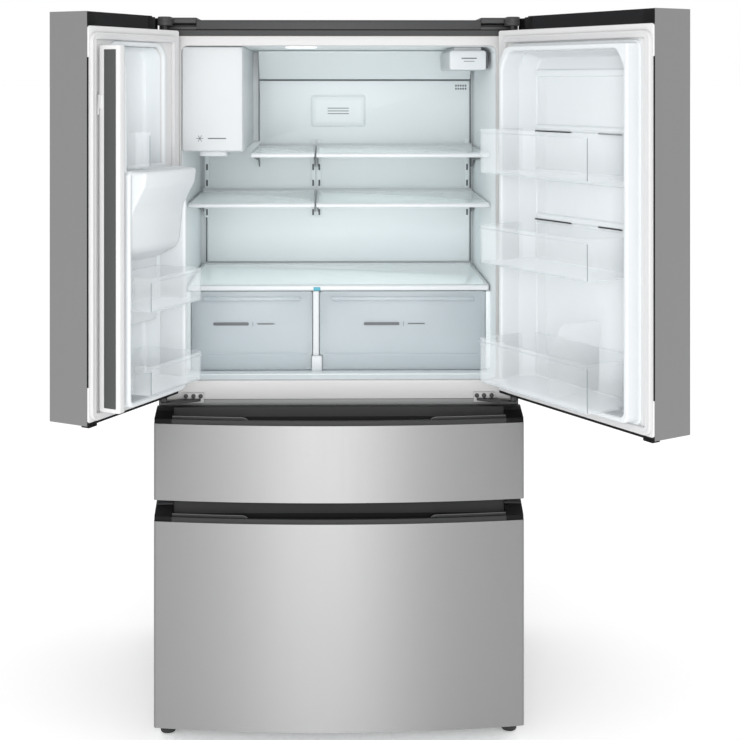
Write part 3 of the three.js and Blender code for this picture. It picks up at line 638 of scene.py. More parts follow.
def dispenser_front(x0, x1):
    body = "left_door"
    low_x, high_x, low_z, high_z = NICHE
    face = bar("y", rect(low_x - 14, high_x + 14, low_z - 14, high_z + 100), -126.5, -105, 16, 3, steps=6)
    body_of_door = fill(x0, x1, DOOR_EDGE, -13, 900, 1700, -0.4)
    hole = bar("y", rect(low_x + 8, high_x - 8, low_z + 8, high_z - 8), -145, -40, 14, 2, steps=6)
    face = carve(face, body_of_door, hole)
    cup = rect(low_x + 0.4, high_x - 0.4, low_z + 0.4, high_z - 0.4)
    cup = bar("y", cup, -113, NICHE_DEPTH, 11, 1, steps=6)
    piece("dispenser_niche_shell", body, DARK, merge(carve(cup, hole), face), ["dispenser_niche"])
    panel = bar("y", rect(low_x - 2, high_x + 2, high_z + 12, high_z + 88), -127.6, -126.6, 8, 0.4)
    piece("dispenser_panel", body, GLOSS, panel)
    dot = [(0.5, -127.9), (3, -127.9), (3, -127.6), (0.5, -127.6)]
    icons = []
    for i in range(5):
        x = low_x + 20 + 30 * i
        icons.append(turned("y", (x, high_z + 40), dot, 16))
        icons.append(bar("y", rect(x - 8, x + 8, high_z + 56, high_z + 58), -127.9, -127.6, 0.8, 0.1))
    piece("dispenser_icons", body, FLANGE, merge(*icons))
    grid = []
    for i in range(6):
        slat = rect(-98 + 9 * i, -95 + 9 * i, low_z + 8.5, low_z + 12)
        grid.append(bar("x", slat, low_x + 12, high_x - 12, 0.8, 0.5))
    spout = turned("z", (-265, -72), [(10, 1360), (13, 1364), (13, 1391)], 24)
    piece("dispenser_grille", body, DARKER, merge(spout, *grid))
    paddle = unite(bar("x", [(-62, 1200), (-57, 1196), (-56.5, 1345), (-61.5, 1345)], -292, -238,
                       [2, 2, 1, 1], 2),
                   turned("x", (-57, 1345), [(3.2, -292), (4, -291), (4, -239), (3.2, -238)], 20))
    piece("dispenser_paddle_pad", "paddle", BAND, paddle, ["dispenser_paddle"])


def wide_bin(x0, x1, in0, in1, back, step, z0, z1):
    """A deep bin: its back part sits between the raised walls and its front part spreads over them."""
    corners = [(in0, back), (in1, back), (in1, step), (x1, step), (x1, BIN_FRONT), (x0, BIN_FRONT),
               (x0, step), (in0, step)]
    radii = [8, 8, 2, 3, 5, 16, 3, 2]
    return moulded("z", corners, radii, tray_path(z0, z1, draft=1.8), steps=5)


def painted_corner_shade(x, y, z0, z1):
    """A dark line along a clear bin's upright corner: painted shade for how the clear plastic darkens
    there.
    """
    return bar("z", rect(x - 0.8, x + 0.8, y - 0.8, y + 0.8), z0 + 4, z1 - 9, 0.5, 0.3, steps=2)


def painted_edge_lines(x0, x1, z0, z1):
    """Grey lines along a clear bin's front, at the foot and under the rim: painted light and shade for the
    edges that the clear plastic shows there.
    """
    foot = rect(BIN_FRONT - 4, BIN_FRONT - 2.8, z0 + 1.4, z0 + 2.6)
    rim = rect(BIN_FRONT - 1.6, BIN_FRONT - 0.6, z1 - 9.2, z1 - 8.2)
    return [bar("x", foot, x0 + 12, x1 - 8, 0.5, 0.3), bar("x", rim, x0 + 12, x1 - 5, 0.4, 0.3)]


def left_bins():
    refraction_lines = []
    corner_shades = [painted_corner_shade(-228.5, 59, 1436, 1519)]
    small = moulded("z", rect(-231.5, -165, -60.5, 62), [8, 8, 14, 5], tray_path(1436, 1519), steps=6)
    piece("left_bin_upper_tub", "left_door", CLEAR, small, ["left_bin_upper"])
    for level, z0, z1, back in (("middle", 1112, 1190, -18.5), ("lower", 923, 990, -58)):
        tub = wide_bin(-385, -168, -375, -165, back, LEFT_DYKE + BIN_GAP, z0, z1)
        corner_shades.append(painted_corner_shade(-170.5, BIN_FRONT - 2.5, z0, z1))
        refraction_lines += painted_edge_lines(-385, -168, z0, z1)
        piece(f"left_bin_{level}_tub", "left_door", CLEAR, tub, [f"left_bin_{level}"])
    piece("left_bin_painted_corner_shade", "left_door", EDGE, merge(*corner_shades))
    piece("left_bin_painted_edge_lines", "left_door", FAINT, merge(*refraction_lines))


def mullion():
    bar_body = bar("z", rect(-145, -120, -5, 52), 889, 1718, [4, 4, 7, 7], 3, steps=5)
    piece("mullion_bar_body", "mullion", FLANGE, bar_body, ["mullion_bar"])
    plate = bar("x", rect(10.5, 43, 899, 1708), -120.5, -119, 1.5, 0.5)
    piece("mullion_bar_plate", "mullion", PLATE, plate)
    latch = merge(
        block(-123, -118.9, -8.5, 6, 1575, 1606, 1.5),
        turned("z", (-121, -7.2), [(1.6, 1560), (2.4, 1561), (2.4, 1588), (1.6, 1589)], 16),
    )
    piece("mullion_bar_latch", "mullion", FLANGE, latch)


def right_door():
    body = "right_door"
    x0 = SPLIT_RIGHT
    x1 = HALF - 1
    door_common("right", x0, x1, skin(x0, x1, DOOR_EDGE, -14, DOOR_LOW, DOOR_HIGH))
    recess = [(-30, 905), (376, 905), (376, 1673), (354, 1708), (-10, 1708), (-30, 1676)]
    radii = [8, 18, 22, 20, 10, 10]
    inside = [(-12, DOOR_BACK), (-6, DOOR_BACK, 4), (0, -30, 8), (8, RECESS, 18), (34, RECESS)]
    flange = rect(x0 + 1, x1 - 1, FACE_LOW, LINER_HIGH)
    # The flange has as many corners as the recess, so that one skin runs through both.
    six = [flange[0], flange[1], (flange[1][0], 1708), flange[2], flange[3], (flange[3][0], 1708)]
    face = loft("y", sections(six, [6, 6, 0.3, 6, 6, 0.3], FACE_PATH, 6)
                + sections(recess, radii, soften(inside, 3, 5), 6))
    piece("right_door_inner_face", body, FLANGE, face, ["right_door_liner"])
    piece("right_door_raised_wall", body, DOOR_RIM, right_wall())
    # The panel in the recess is a lighter copy of the door white: painted light.
    panel = block(12, 334, RECESS - 2, RECESS + 2.4, 950, 1650, 2)
    piece("right_door_recess_panel", body, DOOR_WHITE, panel)
    piece("right_door_seal", body, SEAL, gasket(x0 + 3, 434, SEAL_LOW, SEAL_HIGH), ["right_door_gasket"])
    door_border("right", rect(-50, 398, 885, 1728), 20, 6)

    # Moulded ledges across the recess that the bins hook onto, with dark strips on them for their slots:
    # painted shade in the slots.
    ledges = []
    slot_shades = []
    for top, height in ((1668, 24), (1534, 22), (1426, 34), (1318, 22)):
        low = top - height
        corners = [(RECESS, low), (RECESS + 7, low + 6), (RECESS + 7, top - 6), (RECESS, top)]
        ledges.append(bar("x", corners, 2, 362, [1, 4, 4, 1], 3))
    for z in (1515, 1300):
        for a, b in ((62, 138), (234, 366)):
            slot_shades.append(block(a, b, RECESS + 1, RECESS + 8.4, z - 2, z + 1, 0.6))
    piece("right_door_ledges", body, DOOR_WHITE, merge(*ledges))
    piece("right_door_ledge_slot_shades", body, BAND, merge(*slot_shades))

    step = RIGHT_DYKE + BIN_GAP
    corner_shades = []
    refraction_lines = []
    corners = [(-4, -58), (375, -58), (375, step), (386, step), (386, BIN_FRONT), (-4, BIN_FRONT)]
    for level, z0, z1 in (("upper", 1416, 1522), ("middle", 1201, 1293), ("lower", 915, 1022)):
        tub = moulded("z", corners, [8, 8, 2, 3, 16, 5], tray_path(z0, z1, draft=1.8), steps=5)
        corner_shades.append(painted_corner_shade(-1.5, BIN_FRONT - 2.5, z0, z1))
        refraction_lines += painted_edge_lines(-4, 386, z0, z1)
        piece(f"right_bin_{level}_tub", body, CLEAR, tub, [f"right_bin_{level}"])
    piece("right_bin_painted_corner_shade", body, EDGE, merge(*corner_shades))
    piece("right_bin_painted_edge_lines", body, FAINT, merge(*refraction_lines))
    divider = [(-50, 925), (96, 925), (100, 1010), (60, 1085), (-50, 1085)]
    piece("right_bin_lower_divider", body, CLEAR, bar("x", divider, 130, 133, [2, 8, 8, 10, 2], 1))


def right_wall():
    """The raised wall and the recess lining: its rim is lower at the free edge than at the hinge."""
    wall = [(-42, 893), (388, 893), (388, 1681), (366, 1720), (-18, 1720), (-42, 1719)]
    inside = [(-24, 911), (370, 911), (370, 1668), (350, 1702), (-4, 1702), (-24, 1668)]
    top = RIGHT_DYKE
    outer_path = [(-7, DOOR_BACK + 0.1), (-1, -6, 5), (0, top - 6), (2, top, 4), (5, top)]
    inner_path = soften([(-13, top), (-8, top, 4), (-6, top - 6), (-5, -12), (6, RECESS + 1, 14),
                         (42, RECESS + 1)], 2.5, 4)
    under_path = [(42, RECESS + 3), (8, RECESS + 3), (-3, -12)]
    outer = sections(wall, [18, 18, 24, 24, 3, 3], soften(outer_path, 2.5, 4), 6)
    inner = sections(inside, [8, 18, 24, 24, 10, 10], inner_path + under_path, 6)
    points, faces = loft("y", outer + inner, closed=True)
    free_x = wall[0][0]
    hinge_x = wall[1][0]
    drop = 1 - RIGHT_FREE_DYKE / RIGHT_DYKE

    def lowered(x, y, z):
        share = (hinge_x - x) / (hinge_x - free_x)
        return (x, y * (1 - share * drop) if y > 0 else y, z)

    return [lowered(*p) for p in points], faces


# ---- Drawers ----
def drawer(name, low, high, trim_high, scoop_low, tub, rail):
    body = f"{name}_drawer"
    piece(f"{name}_front_steel", body, STEEL, skin(-HALF, HALF, DRAWER_EDGE, -13, low, high),
          [f"{name}_front_skin"])

    # The pocket handle: a charcoal lining scooped out for the fingers, a grey lip along the bow, black end
    # blocks, a black strip over the foot of the rear slope as painted shade, and a ledge behind the lip
    # towards each end with a lighter strip on its top edge as painted highlight.
    lining = fill(-HALF, HALF, DRAWER_EDGE, -44, scoop_low, high + 0.4, SKIN + 0.4, 0.5)
    back = [(-46, scoop_low), (-13, scoop_low), (-13, trim_high), (-30, trim_high), (-46, trim_high - 6)]
    back = bar("x", back, -HALF + 2, HALF - 2, [1, 1, 3, 6, 4], 1.5)
    crest = trim_high + 12
    deep = high - 26

    def slope_y(z):
        return -50 + 20 * (z - deep) / (crest - deep)

    def front_of(x):
        return front_y(x, DRAWER_EDGE)

    def pocket(x):
        return [(front_of(x) + 10, deep), (-50, deep), (-30, crest), (front_of(x) + 10, crest)]

    def lip(x):
        y = front_of(x)
        top = high + 12
        return [(y + 0.3, high + 0.4), (y + 9.8, high + 0.4), (y + 8.6, top), (y + 1.2, top)]

    def end_block(x):
        y = front_of(x)
        return [(y + 0.8, high + 0.5), (-14, high + 0.5), (-14, trim_high - 0.5), (-24, trim_high - 0.5),
                (y + 3.5, high + 12)]

    def ledge_top(x):
        return high + 17 - 5 * min(1, max(0, (LEDGE_END + 14 - abs(x)) / 14)) ** 2

    def ledge(x):
        y = front_of(x)
        z = ledge_top(x)
        return [(y + 10.2, deep + 2), (y + 16, deep + 2), (y + 16, z), (y + 10.2, z)]

    # A thin lighter strip along each ledge's top edge: painted highlight.
    def ledge_highlight(x):
        y = front_of(x)
        z = ledge_top(x)
        return [(y + 9.6, z - 0.8), (y + 12, z - 0.8), (y + 12, z + 0.9), (y + 9.6, z + 0.9)]

    scoop = bowed(-POCKET_HALF - 1, POCKET_HALF + 1, pocket, [6, 10, 0.5, 0.5])
    piece(f"{name}_handle_lining", body, DARK, carve(unite(lining, back), scoop), [f"{name}_handle"],
          bevel=0.8)
    piece(f"{name}_handle_lip", body, LIP, bowed(-POCKET_HALF - 0.4, POCKET_HALF + 0.4, lip, 1.0))
    walls = []
    ledges = []
    highlights = []
    for s in (-1, 1):
        walls.append(bowed(*mirrored(s, POCKET_HALF + 0.5, HALF - 1.5), end_block, [2, 1, 3, 8, 2], 8))
        ledges.append(bowed(*mirrored(s, LEDGE_END, POCKET_HALF), ledge, 0.8, 40))
        highlights.append(bowed(*mirrored(s, LEDGE_END, POCKET_HALF), ledge_highlight, 0.6, 40))
    piece(f"{name}_handle_ends", body, DARKER, merge(*walls))
    piece(f"{name}_handle_ledges", body, LIP, merge(*ledges))
    piece(f"{name}_handle_ledge_highlights", body, LEDGE_HIGHLIGHT, merge(*highlights))
    # A black strip over the lower part of the rear slope: painted shade in the pocket.
    foot = high + 5.5
    shade = [(slope_y(deep + 2) - 1.4, deep + 2), (slope_y(deep + 2) + 2, deep + 2),
             (slope_y(foot) + 2, foot), (slope_y(foot) - 1.4, foot)]
    piece(f"{name}_handle_shade", body, DARKER, bar("x", shade, -POCKET_HALF, POCKET_HALF, 0.4, 0.5))
    NODES[f"{name}_inner_panel"].data.materials[0] = WHITE
    piece(f"{name}_drawer_seal", body, SEAL, gasket(-440, 440, low + 7, trim_high - 7))
    z0, z1, rear, node_name = tub
    basket = moulded("z", rect(-372, 372, 4, rear), 14, tray_path(z0, z1, 3, 4, 14), steps=6)
    wings = [block(*mirrored(s, 369, 388), 20, rear - 20, rail + 20.4, rail + 22.5, 0.9) for s in (-1, 1)]
    piece(f"{node_name}_tub", body, FROSTED, merge(basket, *wings), [node_name])


def drawers():
    drawer("flex", 612.4, 799, 828, 759, (648, 780, 470, "flex_bin"), 660)
    drawer("freezer", 55.3, 560, 600, 520, (95, 385, 385, "freezer_basket"), 352)
    upper = moulded("z", rect(-371, 371, 8, 290), 14, tray_path(385.4, 480, 3, 4, 14), steps=6)
    piece("freezer_upper_tub", "upper_basket", FROSTED, upper, ["freezer_upper_basket"])


# ---- Cabinet ----
def cabinet():
    for name, material in (("cabinet_wrapper", PAINT), ("rear_panel", ZINC), ("machine_cover", DARKER),
                           ("insulation_foam", FOAM), ("lower_liner", WHITE), ("compressor", IRON),
                           ("evaporator", ALUMINIUM), ("evaporator_fan", DARK), ("condenser_fan", DARK),
                           ("rear_rollers", RUBBER)):
        NODES[name].data.materials[0] = material
    fixed("cross_rail_strip", COATED, block(-436, 436, -1.9, -0.4, 825, 838.5, 0.5), ["cross_rail"])
    screws = []
    for x in (-430, -145, 145, 430):
        for z in (345, 700, 1050, 1400, 1745):
            screws.append(turned("y", (x, z), [(5, 681), (5, 682.5), (3, 684), (0.5, 684.2)], 16))
    fixed("rear_panel_screws", ZINC, merge(*screws))
    beads = [bar("y", rect(x - 5, x + 5, 420, 1700), 680.5, 683, 4.5, 1.5) for x in (-290, 0, 290)]
    fixed("rear_panel_beads", ZINC, merge(*beads))
    top()
    feet()
    liner()


def top():
    main = [(2, CAP_LOW), (130, CAP_LOW), (130, 1786), (126, 1790), (5, 1790), (2, 1786)]
    main = bar("x", main, -357, 357, [1, 1, 2, 2, 3, 2], 0.5)
    caps = []
    for s in (-1, 1):
        plan = [(-449, -57), (-415, -57), (-415, 2), (-356, 2), (-356, 150), (-451, 150)]
        radii = [16, 16, 4, 6, 6, 6]
        if s > 0:
            plan = [(-x, y) for x, y in reversed(plan)]
            radii = list(reversed(radii))
        caps.append(bar("z", plan, 1781.4, HINGE_TOP, radii, 2.5))
        caps.append(bar("z", rect(*mirrored(s, 415, 449), -57, 1), 1774, 1783, [14, 14, 2, 2], 1.5))
        for a, b in ((356, 358), (449, 451)):
            caps.append(block(*mirrored(s, a, b), 4, 148, CAP_LOW, 1783, 0.5))
        caps.append(block(*mirrored(s, 357, 450), 98, 149, CAP_LOW, 1783, 1))
        caps.append(block(*mirrored(s, 357, 450), 2.2, 5, CAP_LOW, 1773, 0.5))
    fixed("hinge_cover", BAND, merge(main, *caps), ["top_cover"])
    hinge("left", -1)
    hinge("right", 1)


def hinge(side, s):
    x, y = PIVOT[side]
    plate = merge(
        block(*mirrored(s, 360, 447), 30, 95, 1764.6, 1780, 1.5),
        block(x - 15, x + 15, y, 34, 1776, 1780, 1.5),
        turned("z", (x, y), [(14, 1776), (15, 1777), (15, 1779), (14, 1780)]),
        turned("z", (x, y), [(5, 1744), (6, 1745), (6, 1777)]),
    )
    fixed(f"top_hinge_plate_{side}", BAND, plate, [f"top_hinge_{side}"])
    arm = [(s * 392, -5), (s * 338, -5), (s * 352, -16), (s * 422, -50), (s * 440, -50), (s * 444, -38)]
    pin = turned("z", (x, y), [(5.5, 836), (6.5, 837), (6.5, 882), (5, 884)])
    fixed(f"center_hinge_bracket_{side}", BAND, merge(bar("z", ordered(arm), 836, 842, 4, 1), pin),
          [f"center_hinge_{side}"])
    fixed(f"center_hinge_foot_{side}", LIGHT_STEEL, block(*mirrored(s, 338, 392), -6, -2.3, 831, 856, 1.2))
    screws = [turned("y", (s * screw, 848), [(1, -11), (4, -10.5), (5.5, -8.5), (5.5, -6)], 12)
              for screw in (346, 364, 383)]
    fixed(f"center_hinge_screws_{side}", BAND, merge(*screws))


def feet():
    for side, s in (("left", -1), ("right", 1)):
        centre = (s * 430, 20)
        foot = merge(
            turned("z", centre, [(15, 0), (18, 1), (19, 3), (19, 8), (17, 11), (10, 12)], 32),
            turned("z", centre, [(7, 10), (7, 20), (6, 21), (7, 22), (7, 37.6)], 20),
        )
        fixed(f"levelling_foot_{side}", RUBBER, foot, [f"front_foot_{side}"])


def liner():
    room = rect(-IN, IN, FLOOR, CEILING)
    path = soften([(40, REAR), (0, REAR, 14), (0, 1.6, 6), (-8, 1.6)], 4, 5)
    inner = sections(room, 16, path, 8)
    flange = rect(-436.4, 436.4, 838.8, 1749.4)
    outside = sections(flange, 3, [(1, 1.6), (0.2, 1.8), (0, 3)], 8)
    back = rect(-IN - 3, IN + 3, FLOOR - 3, CEILING + 3)
    back = sections(back, 18, [(0, 3), (0, 545), (14, REAR + 2.6)], 8)
    fixed("fresh_food_room", SIDE, loft("y", inner + outside + back), ["fresh_food_liner"])
    ring = sections(room, 16, soften([(-0.2, 14), (0.4, 13.4), (0.4, 0.2, 6), (-8, 0.2)], 0.3, 5), 8)
    ring += sections(flange, 3, [(1, 0.2), (0.2, 0.6), (0.2, 1.5)], 8)
    fixed("fresh_food_flange", RIM, loft("y", ring, closed=True))
    ledges = []
    for s in (-1, 1):
        ledges.append(block(*mirrored(s, 385, IN + 0.5), 128, REAR + 0.5, 1081, 1091.4, 2))
        ledges.append(block(*mirrored(s, 382.5, IN + 0.5), 119, 127, FLOOR + 2, 1090, 3))
    sill = [(64, FLOOR - 1), (104, FLOOR - 1), (104, FLOOR + 2.4), (70, FLOOR + 2.4)]
    fixed("crisper_ledges", WHITE, merge(bar("x", sill, -384, 384, 1.2, 2), *ledges))


# ---- Inside ----
def interior():
    rear_wall()
    shelf("upper_shelf_left", -228, -62, SHELF_UPPER)
    shelf("upper_shelf_right", -58, 393, SHELF_UPPER)
    shelf("lower_shelf_left", -390, -62, SHELF_LOWER)
    shelf("lower_shelf_right", -58, 393, SHELF_LOWER)
    crispers()
    ice_maker()
    ceiling()


def rear_wall():
    step_x, step_z = DUCT_STEP
    panel = [(step_x, DUCT_LOW), (DUCT_RIGHT, DUCT_LOW), (DUCT_RIGHT, 1638), (DUCT_LEFT, 1638),
             (DUCT_LEFT, step_z), (step_x, step_z)]
    panel = bar("y", panel, DUCT_FRONT, REAR - 0.6, [3, 3, 3, 3, 3, 6], 2.0, steps=6)
    cowl = [(531, 1642), (REAR - 0.5, 1642), (REAR - 0.5, CEILING - 1), (472, CEILING - 1)]
    cowl = bar("x", cowl, DUCT_LEFT, DUCT_RIGHT, [7, 0.5, 0.5, 5], 1.5, steps=6)
    fixed("duct_panel", WHITE, merge(panel, cowl), ["rear_air_duct"])
    # Dark strips around the panel's edges and along its upper seam: painted shadow for the gaps there.
    seam_shadows = [block(x0, x1, DUCT_FRONT - 3, DUCT_FRONT + 1, z0, z1, 0.3) for x0, x1, z0, z1 in (
        (-228, -226.6, step_z, 1716), (386.2, 388.4, DUCT_LOW, 1690),
        (-380.6, -378.2, DUCT_LOW, step_z), (DUCT_LEFT, DUCT_RIGHT, 1638.6, 1641.4))]
    fixed("duct_panel_seam_shadows", SHADOW, merge(*seam_shadows))

    plate = [(0, 541.2), (1.2, 538.2), (3.4, 537.8), (5, 539.4), (6.5, 540.2), (20, 540.2)]
    fixed("duct_plate", WHITE, moulded("y", rect(-77, 83, 1503, 1597), 10, plate, steps=6))
    waves = [bar("y", rect(-28, 34, z, z + 2), 539.6, 540.4, 1, 0.2) for z in (1541, 1549, 1557)]
    fixed("airflow_symbol", MARK, merge(*waves))
    # The grille's slits are dark blocks on the panel: painted shade in the openings.
    vents = [block(x, x + 4, 539.6, 541.4, z, z + 5, 0.6) for x in range(344, 373, 7) for z in (1612, 1621)]
    fixed("sensor_grille_painted_shade", SHADOW, merge(*vents))

    tracks = []
    dark = []
    for x, low in ((-70, 1241), (-52, 1241), (-378, 1241), (378, 1241)):
        column = bar("y", rect(x - 7, x + 7, low, 1468), 536, DUCT_FRONT, 3, 1.2)
        holes = [bar("y", rect(x - 2.6, x + 2.6, z, z + 18), 530, 545, 1.5, 0.3)
                 for z in (1247, 1302, 1332, 1378, 1425)]
        tracks.append(carve(column, *holes))
        # A dark strip inside each column's slots: painted shadow in the slots.
        dark.append(block(x - 4, x + 4, 539.6, 540.8, 1243, 1446, 0.3))
    fixed("shelf_tracks", WHITE, merge(*tracks), ["shelf_ladder"])
    fixed("shelf_track_slot_shadows", SHADOW, merge(*dark))


def shelf(name, x0, x1, top):
    glass = block(x0 + 4, x1 - 4, SHELF_FRONT + 6, SHELF_REAR - 5, top - 5, top - 1, 0.8)
    fixed(f"{name}_glass", GLASS, glass, [name])
    front = bar("x", [(SHELF_FRONT, top - 12), (SHELF_FRONT + 12, top - 12), (SHELF_FRONT + 14, top - 1),
                      (SHELF_FRONT + 5, top), (SHELF_FRONT, top - 4)], x0, x1, [4, 3, 1, 3, 3], 2.5)
    rear = bar("x", [(SHELF_REAR - 9, top - 9), (SHELF_REAR, top - 9), (SHELF_REAR, top + 6),
                     (SHELF_REAR - 4, top + 6), (SHELF_REAR - 9, top)], x0 + 2, x1 - 2, 1.2, 1.5)
    sides = [block(x, x + 5, SHELF_FRONT + 8, SHELF_REAR - 4, top - 8, top - 0.2, 1.2)
             for x in (x0, x1 - 5)]
    fixed(f"{name}_trim", PURE, merge(front, rear, *sides))
    arm = [(SHELF_FRONT + 54, top - 14), (SHELF_REAR - 50, top - 40), (SHELF_REAR - 2, top - 62),
           (SHELF_REAR + 8, top - 60), (SHELF_REAR + 8, top - 44), (SHELF_REAR - 2, top - 40),
           (SHELF_REAR - 2, top - 9), (SHELF_FRONT + 30, top - 9)]
    arms = [bar("x", arm, x, x + 2.4, [3, 20, 6, 2, 2, 2, 2, 3], 0.6) for x in (x0 + 1.5, x1 - 4)]
    fixed(f"{name}_arms", COATED, merge(*arms))


def crispers():
    low = COVER_TOP - 15
    front = bar("x", rect(SHELF_FRONT, SHELF_FRONT + 15, low, COVER_TOP), -391, 391, [5, 3, 3, 6], 4)
    sides = [block(*mirrored(s, 384, 392), SHELF_FRONT + 12, 536, low, COVER_TOP, 2) for s in (-1, 1)]
    rear = bar("x", rect(SHELF_REAR, SHELF_REAR + 10, low, COVER_TOP + 2), -388, 388, 2, 2)
    fixed("crisper_cover_frame", PURE, merge(front, rear, *sides))
    pane = block(-386, 386, SHELF_FRONT + 12, 530, COVER_TOP - 7, COVER_TOP - 3, 0.8)
    fixed("crisper_cover_glass_painted_glow", COVER_GLASS, pane, ["crisper_cover"])
    tab = block(-65, -47, SHELF_FRONT - 1.2, SHELF_FRONT + 2, COVER_TOP - 14, COVER_TOP - 5, 1)
    fixed("divider_tab", TEAL, tab)

    post = rect(-67, -50, SHELF_FRONT + 3, 525)
    post = bar("z", post, FLOOR + 0.5, CRISPER_TOP, [4, 4, 2, 2], 0.8)
    foot = rect(-70, -42.5, SHELF_FRONT - 8, SHELF_FRONT + 6)
    foot = bar("z", foot, FLOOR + 0.5, 925, [4, 4, 1, 1], 2)
    room = block(-71, -41.5, SHELF_FRONT - 10, SHELF_FRONT + 10, FLOOR - 5, 927, 3)
    fixed("crisper_divider_post", DOOR_RIM, merge(post, foot), ["crisper_divider"])

    for side, x0, x1, in0, in1 in (("left", -380, -69, -376, -75), ("right", -48, 380, -37, 376)):
        body = f"crisper_drawer_{side}"
        tub = moulded("z", rect(in0, in1, SHELF_FRONT + 5, 515), 18,
                      tray_path(FLOOR + 4, 1070, 2.6, 9, 10, 3, 14), steps=6)
        front = rect(x0 - 1, x1 + 1, FLOOR + 3, CRISPER_TOP)
        front = carve(bar("y", front, SHELF_FRONT, SHELF_FRONT + 5, 6, 1.5, steps=6), room)
        grip = bar("x", [(SHELF_FRONT - 6, 1068), (SHELF_FRONT + 3, 1066), (SHELF_FRONT + 3, 1078),
                         (SHELF_FRONT - 5, 1077)], x0 + 30, x1 - 30, [3, 1, 1, 3], 3)
        lip = rect(SHELF_FRONT - 1.5, SHELF_FRONT + 2, 925, 929)
        lip = bar("x", lip, x0 + 10, x1 - 10, 1.4, 1.4)
        piece(f"crisper_{side}_tub", body, FROSTED, merge(tub, front, grip, lip), [f"crisper_{side}"])
        middle = (x0 + x1) / 2
        marks = []
        for a, b, half, radius in ((-100, -8, 4, 3), (2, 3.4, 6, 0.5), (14, 58, 1.6, 1.2)):
            mark = rect(middle + a, middle + b, 1007 - half, 1007 + half)
            marks.append(bar("y", mark, SHELF_FRONT - 0.5, SHELF_FRONT + 0.3, radius, 0.2))
        piece(f"crisper_{side}_symbol", body, MARK, merge(*marks))


def ice_maker():
    shell = carve(block(-IN + 0.5, ICE_RIGHT, 32, 500, 1458, CEILING - 0.4, 4),
                  block(-IN + 3.5, ICE_RIGHT - 3, 20, 497, 1461, CEILING - 4, 2),
                  bar("z", rect(*ICE_CHUTE), 1440, 1470, 6, 0.5))
    lip = carve(bar("z", rect(-356, -284, 56, 134), 1445, 1459, 10, 1.5),
                bar("z", rect(*ICE_CHUTE), 1440, 1470, 7, 0.5))
    fixed("ice_maker_shell", DOOR_RIM, merge(shell, lip), ["ice_maker_housing"])
    front = rect(-IN + 1, ICE_RIGHT - 1, 1460, CEILING - 2)
    front = bar("y", front, 15, 31, [6, 7, 9, 8], 3, steps=6)
    bucket = moulded("z", rect(-386, -250, 30, 330), 12, tray_path(1470, 1610, 3, 2, 10), steps=6)
    spout = bar("z", rect(-350, -290, 64, 126), 1460, 1482, 8, 0.5)
    piece("ice_bin_bucket", "ice_drawer", ICE_WHITE, merge(front, carve(bucket, spout)), ["ice_bin"])

    # A six-armed flake and a plain bar, printed on the front.
    x = -350
    z = 1492
    arms = []
    for i in range(3):
        a = math.pi * i / 3
        dx, dz = 9 * math.cos(a), 9 * math.sin(a)
        nx, nz = 0.7 * math.sin(a), -0.7 * math.cos(a)
        corners = [(x - dx - nx, z - dz - nz), (x + dx - nx, z + dz - nz),
                   (x + dx + nx, z + dz + nz), (x - dx + nx, z - dz + nz)]
        arms.append(bar("y", ordered(corners), 14.5, 15.3, 0.5, 0.2))
    arms.append(bar("y", rect(-330, -284, z - 1.4, z + 1.4), 14.5, 15.3, 1.2, 0.2))
    piece("ice_symbol", "ice_drawer", MARK, merge(*arms))


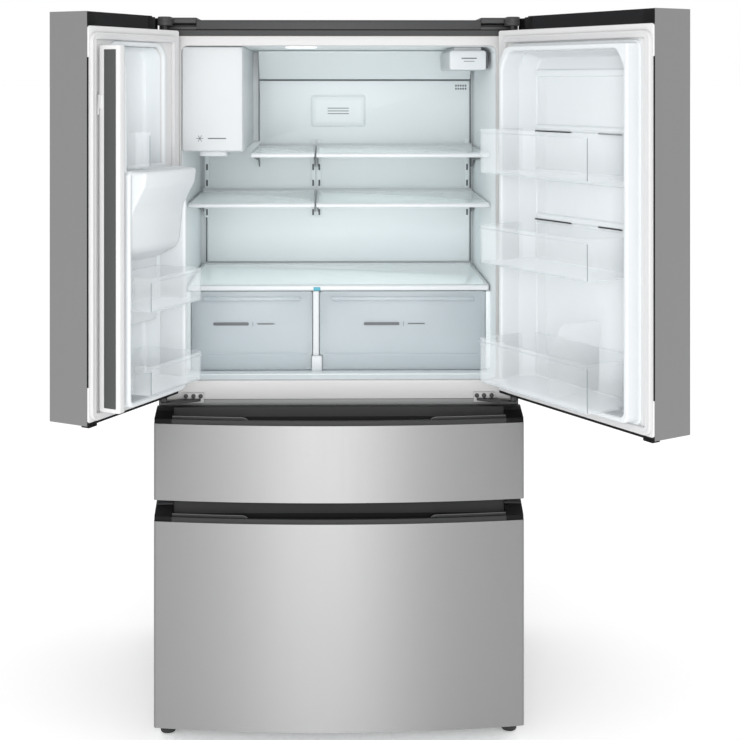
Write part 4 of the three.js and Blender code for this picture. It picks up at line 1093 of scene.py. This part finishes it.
def ceiling():
    lens = bar("z", rect(-137, -55, 26, 66), 1719.2, CEILING - 0.4, 12, 3, steps=8)
    fixed("ceiling_lens", LAMP, lens, ["ceiling_light"])
    body = bar("y", rect(287, 383, 1665, 1716), 100, 380, 8, 4, steps=6)
    neck = block(300, 372, 120, 360, 1712, CEILING - 0.4, 2)
    fixed("filter_cover", DOOR_RIM, merge(body, neck), ["filter_housing"])
    marks = [bar("y", rect(318, 358, 1694, 1697), 99.5, 100.3, 1.2, 0.2),
             bar("y", rect(324, 352, 1687, 1688.6), 99.5, 100.3, 0.7, 0.2)]
    fixed("filter_symbol", MARK, merge(*marks))
    # A dark strip at the cover's side: painted shadow for the gap beside it.
    fixed("filter_seam_shadow", SHADOW, block(383.6, 385.4, 98, 380, 1670, 1712, 0.4))


# ---- Studio ----
def area_light(name, at, aim, size, energy):
    light = bpy.data.lights.new(name, "AREA")
    light.shape = "RECTANGLE"
    light.size, light.size_y = size
    light.energy = energy
    obj = new_object(name, light)
    obj.location = at
    obj.rotation_euler = (Vector(aim) - Vector(at)).to_track_quat("-Z", "Y").to_euler()


def studio():
    reach = 400
    corners = [(-reach, -reach, 0), (reach, -reach, 0), (reach, reach, 0), (-reach, reach, 0)]
    floor_mesh = mesh_of("floor", (corners, [[0, 1, 2, 3]]))
    floor_mesh.materials.append(look("studio_floor", (0.92, 0.92, 0.92), 0.9, 0.02, 0.003, 3,
                                     Specular_IOR_Level=0.1, Emission_Strength=0.16,
                                     Emission_Color=(1, 1, 1, 1)))
    floor = new_object("floor", floor_mesh)
    floor.location.z = -0.0005
    world = bpy.data.worlds.new("studio")
    bpy.context.scene.world = world
    world.use_nodes = True
    background = world.node_tree.nodes["Background"]
    background.inputs["Color"].default_value = (1, 1, 1, 1)
    background.inputs["Strength"].default_value = 1.0
    area_light("key", (-1.3, -3.6, 2.3), (-0.05, 0, 0.9), (1.2, 2.6), 12)
    area_light("fill", (1.8, -3.4, 1.8), (0, 0, 1.1), (1.4, 2.2), 4)
    area_light("front", (-0.17, -4.3, 1.3), (-0.03, 0, 1.15), (1.3, 2.3), 77)
    bpy.context.scene.view_settings.view_transform = "Standard"


def camera():
    data = bpy.data.cameras.new("camera")
    data.sensor_width = 36
    data.lens = 65.91
    data.shift_x = 0.0352
    data.shift_y = -0.3894
    data.clip_end = 1000
    obj = new_object("camera", data)
    obj.location = CABINET @ Vector((-31.9, -3401.3, 1634.6))
    obj.rotation_euler = (math.radians(90), 0, math.radians(-0.75))
    bpy.context.scene.camera = obj


camera()
studio()
cabinet()
interior()
left_door()
right_door()
drawers()
